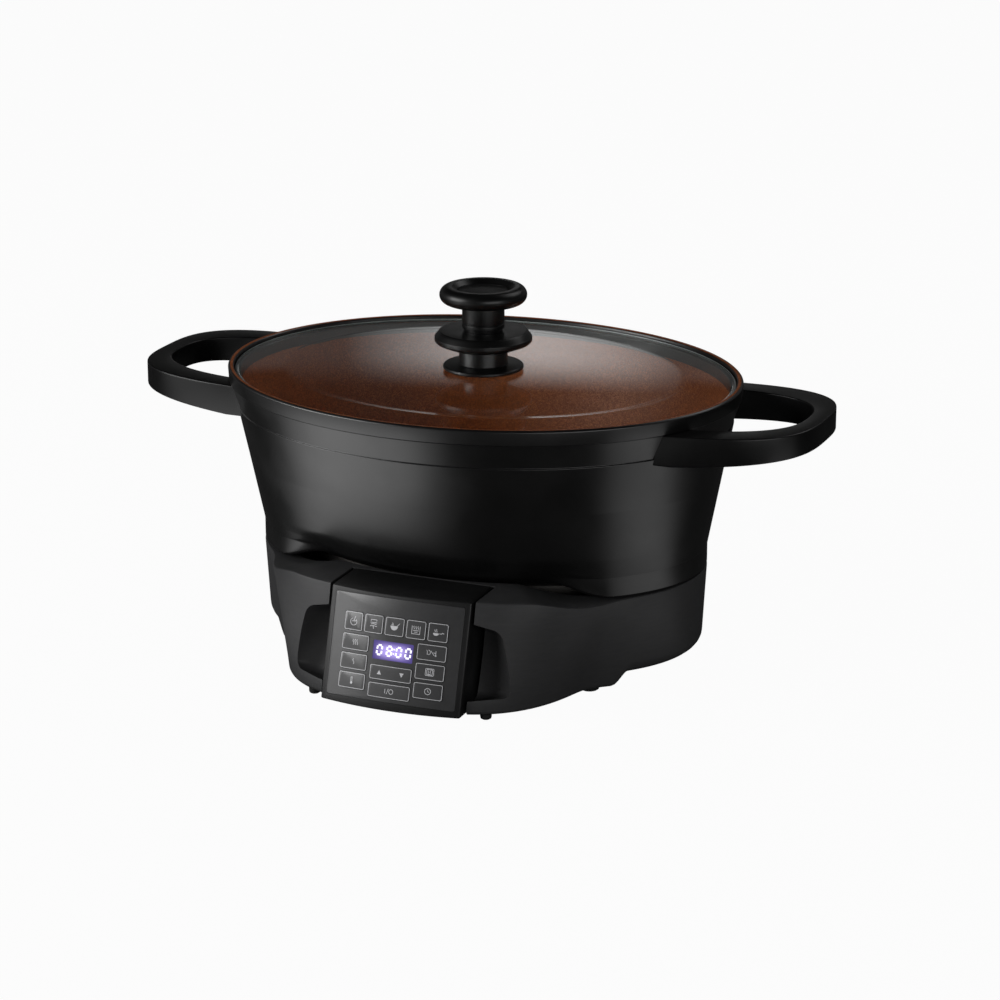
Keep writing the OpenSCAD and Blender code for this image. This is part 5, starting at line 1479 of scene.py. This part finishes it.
def lid_path(t):
    """Closed profile of the glass in the direction t."""
    edge = oval_r(t, LID_A, LID_B)
    first = LID_HOLE_R / edge
    dome = []
    for k in range(DOME_STEPS + 1):
        share = between(first, DOME_SHARE, k / DOME_STEPS)
        dome.append((share * edge, between(BORDER_RISE, DOME_RISE, 1 - (share / DOME_SHARE) ** 2)))
    for k in range(BORDER_STEPS + 1):
        share = between(*BORDER_SHARES, k / BORDER_STEPS)
        dome.append((share * edge, BORDER_RISE * (1 - share) / (1 - DOME_SHARE)))
    under = [(r, LID_LOW_Z + z, 0) for r, z in dome]
    over = [(r, LID_LOW_Z + GLASS_T + z, 0) for r, z in reversed(dome)]
    rim = [(edge, LID_LOW_Z, GLASS_EDGE), (edge, LID_LOW_Z + GLASS_T, GLASS_EDGE)]
    return rounded(under + rim + over, closed=True, arc_points=6)


def lid_finish(row):
    """1 for the ground edge, 0 for the clear faces."""
    return int(lid_rows[row][0] > LID_A - GLASS_EDGE + 0.1)


lid_rows = lid_path(0)
lid_mesh = loft("lid_dome", around(LID_TURNS, lid_path), closed=True, finish_of=lid_finish, crease=60)
add_piece("lid_dome", lid_mesh, [lid_clear, ground_edge], "lid", "lid_glass", "lid_glass")

# %% [markdown]
# ## The knob
#
# The knob is a stack of turned pieces on one screw: a foot on the glass, a wide guard for the fingers, a stem
# and a grip cap with a disc sunk in its top. A Screw modifier could spin each profile. The loft helper does the
# same and keeps the finish and the rounding in one place. Heights come from the CAD nodes, so the pieces stack.

# %% Turned pieces
KNOB_TURNS, KNOB_BORE, MIDDLE_R = 128, 2.6, 1
KNOB_FOOT_Z, GUARD_Z, STEM_Z, CAP_Z = (
    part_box(node)[0].z / MM for node in ("knob_foot", "knob_guard", "knob_stem", "knob_cap"))
FOOT_H, GUARD_H, STEM_H = GUARD_Z - KNOB_FOOT_Z, STEM_Z - GUARD_Z, CAP_Z - STEM_Z


def turned(name, z0, corners, finish, slot, node, closed=True):
    """A piece turned round the pot's axis."""
    path = rounded([(r, z0 + z, radius) for r, z, radius in corners], closed=closed)
    mesh = loft(name, around(KNOB_TURNS, lambda t: path), closed=closed)
    return add_piece(name, mesh, [finish], "lid", slot, node)


print("knob: foot", round(FOOT_H, 1), "guard", round(GUARD_H, 1), "stem", round(STEM_H, 1), "mm high")

# %% Foot, guard and stem
# corners of each profile: radius, height, rounding
foot_profile = [(KNOB_BORE, 0, 0.3), (28, 0, 0.3), (28.6, 0.6, 0.5), (28.6, 2, 0.8), (27.8, 2.8, 0.8),
    (17.8, 3.4, 0.6), (17.2, 4, 0.6), (17.2, FOOT_H, 0.2), (KNOB_BORE, FOOT_H, 0.2)]
guard_profile = [(KNOB_BORE, 0, 0.2), (24.6, 0, 1.5), (33.4, 3.6, 1), (34.6, 4.8, 1), (34.6, 7.6, 0.8),
    (34, 8.2, 0.6), (31.6, GUARD_H - 0.6, 0.5), (31, GUARD_H - 0.6, 0.4), (30.4, GUARD_H, 0.5),
    (KNOB_BORE, GUARD_H, 0.2)]
stem_profile = [(KNOB_BORE, 0, 0.2), (13.5, 0, 0.2), (13.5, 2, 0.2), (15, 2.3, 0.4), (15, 5.2, 0.3),
    (14.4, 5.5, 0.2), (14.4, 6, 0.2), (15, 6.3, 0.3), (15, STEM_H, 0.2), (KNOB_BORE, STEM_H, 0.2)]
turned("knob_foot_turned", KNOB_FOOT_Z, foot_profile, knob_matte, "knob_plastic", "knob_foot")
turned("knob_guard_turned", GUARD_Z, guard_profile, knob_matte, "knob_plastic", "knob_guard")
turned("knob_stem_turned", STEM_Z, stem_profile, knob_matte, "knob_plastic", "knob_stem")

# %% Cap and disc
CAP_R, CAP_H, CAP_BORE_H = 31, 12, 6
CAP_ROUND = CAP_H / 2
DISH_R, DISH_DEPTH, INLAY_T, INLAY_R = 19, 3, 1.6, 17.7
SEAT_R, DISH_Z = DISH_R - 1.2, CAP_H - DISH_DEPTH
SEAT_Z = DISH_Z - INLAY_T

cap_profile = [(MIDDLE_R, CAP_BORE_H, 0), (KNOB_BORE, CAP_BORE_H, 0.2), (KNOB_BORE, 0, 0.3)]
for a in (math.radians(q) for q in range(0, 181, 10)):
    cap_profile.append((CAP_R - CAP_ROUND + CAP_ROUND * math.sin(a), CAP_ROUND - CAP_ROUND * math.cos(a), 0))
cap_profile += [(DISH_R + DISH_DEPTH, CAP_H, 0.8), (DISH_R, DISH_Z, 0.5), (SEAT_R, DISH_Z, 0.2),
    (SEAT_R, SEAT_Z, 0.2), (MIDDLE_R, SEAT_Z, 0)]
disc_profile = [(MIDDLE_R, 0, 0), (INLAY_R, 0, 0.2), (INLAY_R, INLAY_T, 0.4), (MIDDLE_R, INLAY_T, 0)]
turned("knob_cap_turned", CAP_Z, cap_profile, knob_matte, "knob_plastic", "knob_cap", closed=False)
turned("knob_disc_turned", CAP_Z + SEAT_Z, disc_profile, knob_disc, "knob_disc", "knob_inlay", closed=False)

# %% [markdown]
# ## Under the pot
#
# When the pot is lifted out, the heater shows: a cast plate with turning marks over a dished steel shield. Two
# scaled cylinders would give the outlines, but not the grooves and the flange. Both are ovals, so they are
# lofted like the pot.

# %% Heater
PLATE_A, PLATE_B, HEAT_LOW_Z, HEAT_TOP_Z, SENSOR_HOLE_R = 132, 88, 64, 72.7, 13
GROOVE_SHARES, GROOVE_TOP, GROOVE_LOW, GROOVE_DEPTH, GROOVE_ROUND = (0.86, 0.5), 1.6, 1, 0.5, 0.3
SHIELD_A, SHIELD_B, SHIELD_Z, SHIELD_T = 120, 80, 43, 1.2
HEATER_TURNS = 192


def plate_path(t):
    """Closed profile of the cast heating plate, with two shallow grooves."""
    edge = oval_r(t, PLATE_A, PLATE_B)
    corners = [(SENSOR_HOLE_R, HEAT_LOW_Z, 0.5), (edge, HEAT_LOW_Z, 1), (edge, HEAT_TOP_Z, 2)]
    for share in GROOVE_SHARES:
        middle, groove_z = between(SENSOR_HOLE_R, edge, share), HEAT_TOP_Z - GROOVE_DEPTH
        groove = [(GROOVE_TOP, HEAT_TOP_Z), (GROOVE_LOW, groove_z),
            (-GROOVE_LOW, groove_z), (-GROOVE_TOP, HEAT_TOP_Z)]
        corners += [(middle + off, z, GROOVE_ROUND) for off, z in groove]
    corners.append((SENSOR_HOLE_R, HEAT_TOP_Z, 0.8))
    return rounded(corners, closed=True)


def shield_path(t):
    """Closed profile of the dished shield."""
    rim, floor_r = oval_r(t, WELL_A, WELL_B), oval_r(t, SHIELD_A, SHIELD_B)
    flange_z, top_z = SKIRT_Z - SHIELD_T, SHIELD_Z + SHIELD_T
    under = [(SENSOR_HOLE_R, SHIELD_Z, 0.3), (floor_r, SHIELD_Z, 6), (rim - 4, flange_z, 2),
        (rim + SKIRT_T, flange_z, 0.3)]
    over = [(rim + SKIRT_T, SKIRT_Z, 0.3), (rim - 4.5, SKIRT_Z, 2), (floor_r - 0.5, top_z, 6),
        (SENSOR_HOLE_R, top_z, 0.3)]
    return rounded(under + over, closed=True)


heater_mesh = loft("heating_plate", around(HEATER_TURNS, plate_path), closed=True)
add_piece("heating_plate", heater_mesh, [plate_painted_shade], "base", "plate_aluminium", "hot_plate")
dish_mesh = loft("heat_dish", around(HEATER_TURNS, shield_path), closed=True)
add_piece("heat_dish", dish_mesh, [shield_steel], "base", "shield_steel", "heat_shield")

# %% [markdown]
# ## What keeps its CAD mesh
#
# Feet, screws, boards, wires and the sensor are small, plain or hidden, and their CAD meshes are good enough to
# look at. They could be modelled again, at a cost that nobody would see. They only get a finish each, from the
# same helpers as the pieces above.

# %% Finishes of the CAD nodes that stay
cover_plastic = moulded("cover_plastic", grey(0.012), 0.5, 0.6, 1500.0, 0.25, wear_and_highlight=0.1)
board_laminate = moulded("board_laminate", (0.02, 0.11, 0.04, 1), 0.3, 0.45, 900.0, 0.1, wear_and_highlight=0.0)
relay_plastic = moulded("relay_plastic", (0.02, 0.05, 0.2, 1), 0.35, 0.45, wear_and_highlight=0.1)
capacitor_plastic = moulded("capacitor_plastic", (0.5, 0.4, 0.05, 1), 0.35, 0.45, wear_and_highlight=0.1)
terminal_plastic = moulded("terminal_plastic", (0.55, 0.55, 0.48, 1), 0.4, 0.5, wear_and_highlight=0.1)
wire_sheath = moulded("wire_sheath", (0.25, 0.2, 0.12, 1), 0.4, 0.5, wear_and_highlight=0.0)
fuse_ceramic = moulded("fuse_ceramic", (0.6, 0.58, 0.5, 1), 0.5, 0.6, wear_and_highlight=0.0)
display_plastic = moulded("display_plastic", grey(0.02), 0.3, 0.4, wear_and_highlight=0.0)
NODE_FINISHES = [
    (cover_plastic, ["bottom_cover"]),
    (foot_rubber, ["main_feet", "front_feet", "cord_gland"]),
    (dark_steel, ["cover_screws", "handle_studs"]),
    (plated_steel, ["panel_screws", "plate_studs", "knob_screw", "knob_washer", "sensor_guide"]),
    (shield_steel, ["heating_element"]),
    (plate_aluminium, ["sensor_cap"]),
    (spring_steel, ["sensor_spring"]),
    (fuse_ceramic, ["thermal_fuse"]),
    (board_laminate, ["power_board", "control_board"]),
    (spacer_brass, ["board_spacers"]),
    (relay_plastic, ["relay"]),
    (capacitor_plastic, ["filter_capacitor"]),
    (terminal_plastic, ["terminal_block"]),
    (wire_sheath, ["supply_wires", "element_wires"]),
    (display_plastic, ["display_module"]),
    (seal_silicone, ["knob_seal"]),
]
for finish, nodes in NODE_FINISHES:
    for node in nodes:
        for slot in frame["nodes"][node].material_slots:
            slot.material = finish
print(sum(len(nodes) for _, nodes in NODE_FINISHES), "CAD nodes finished")
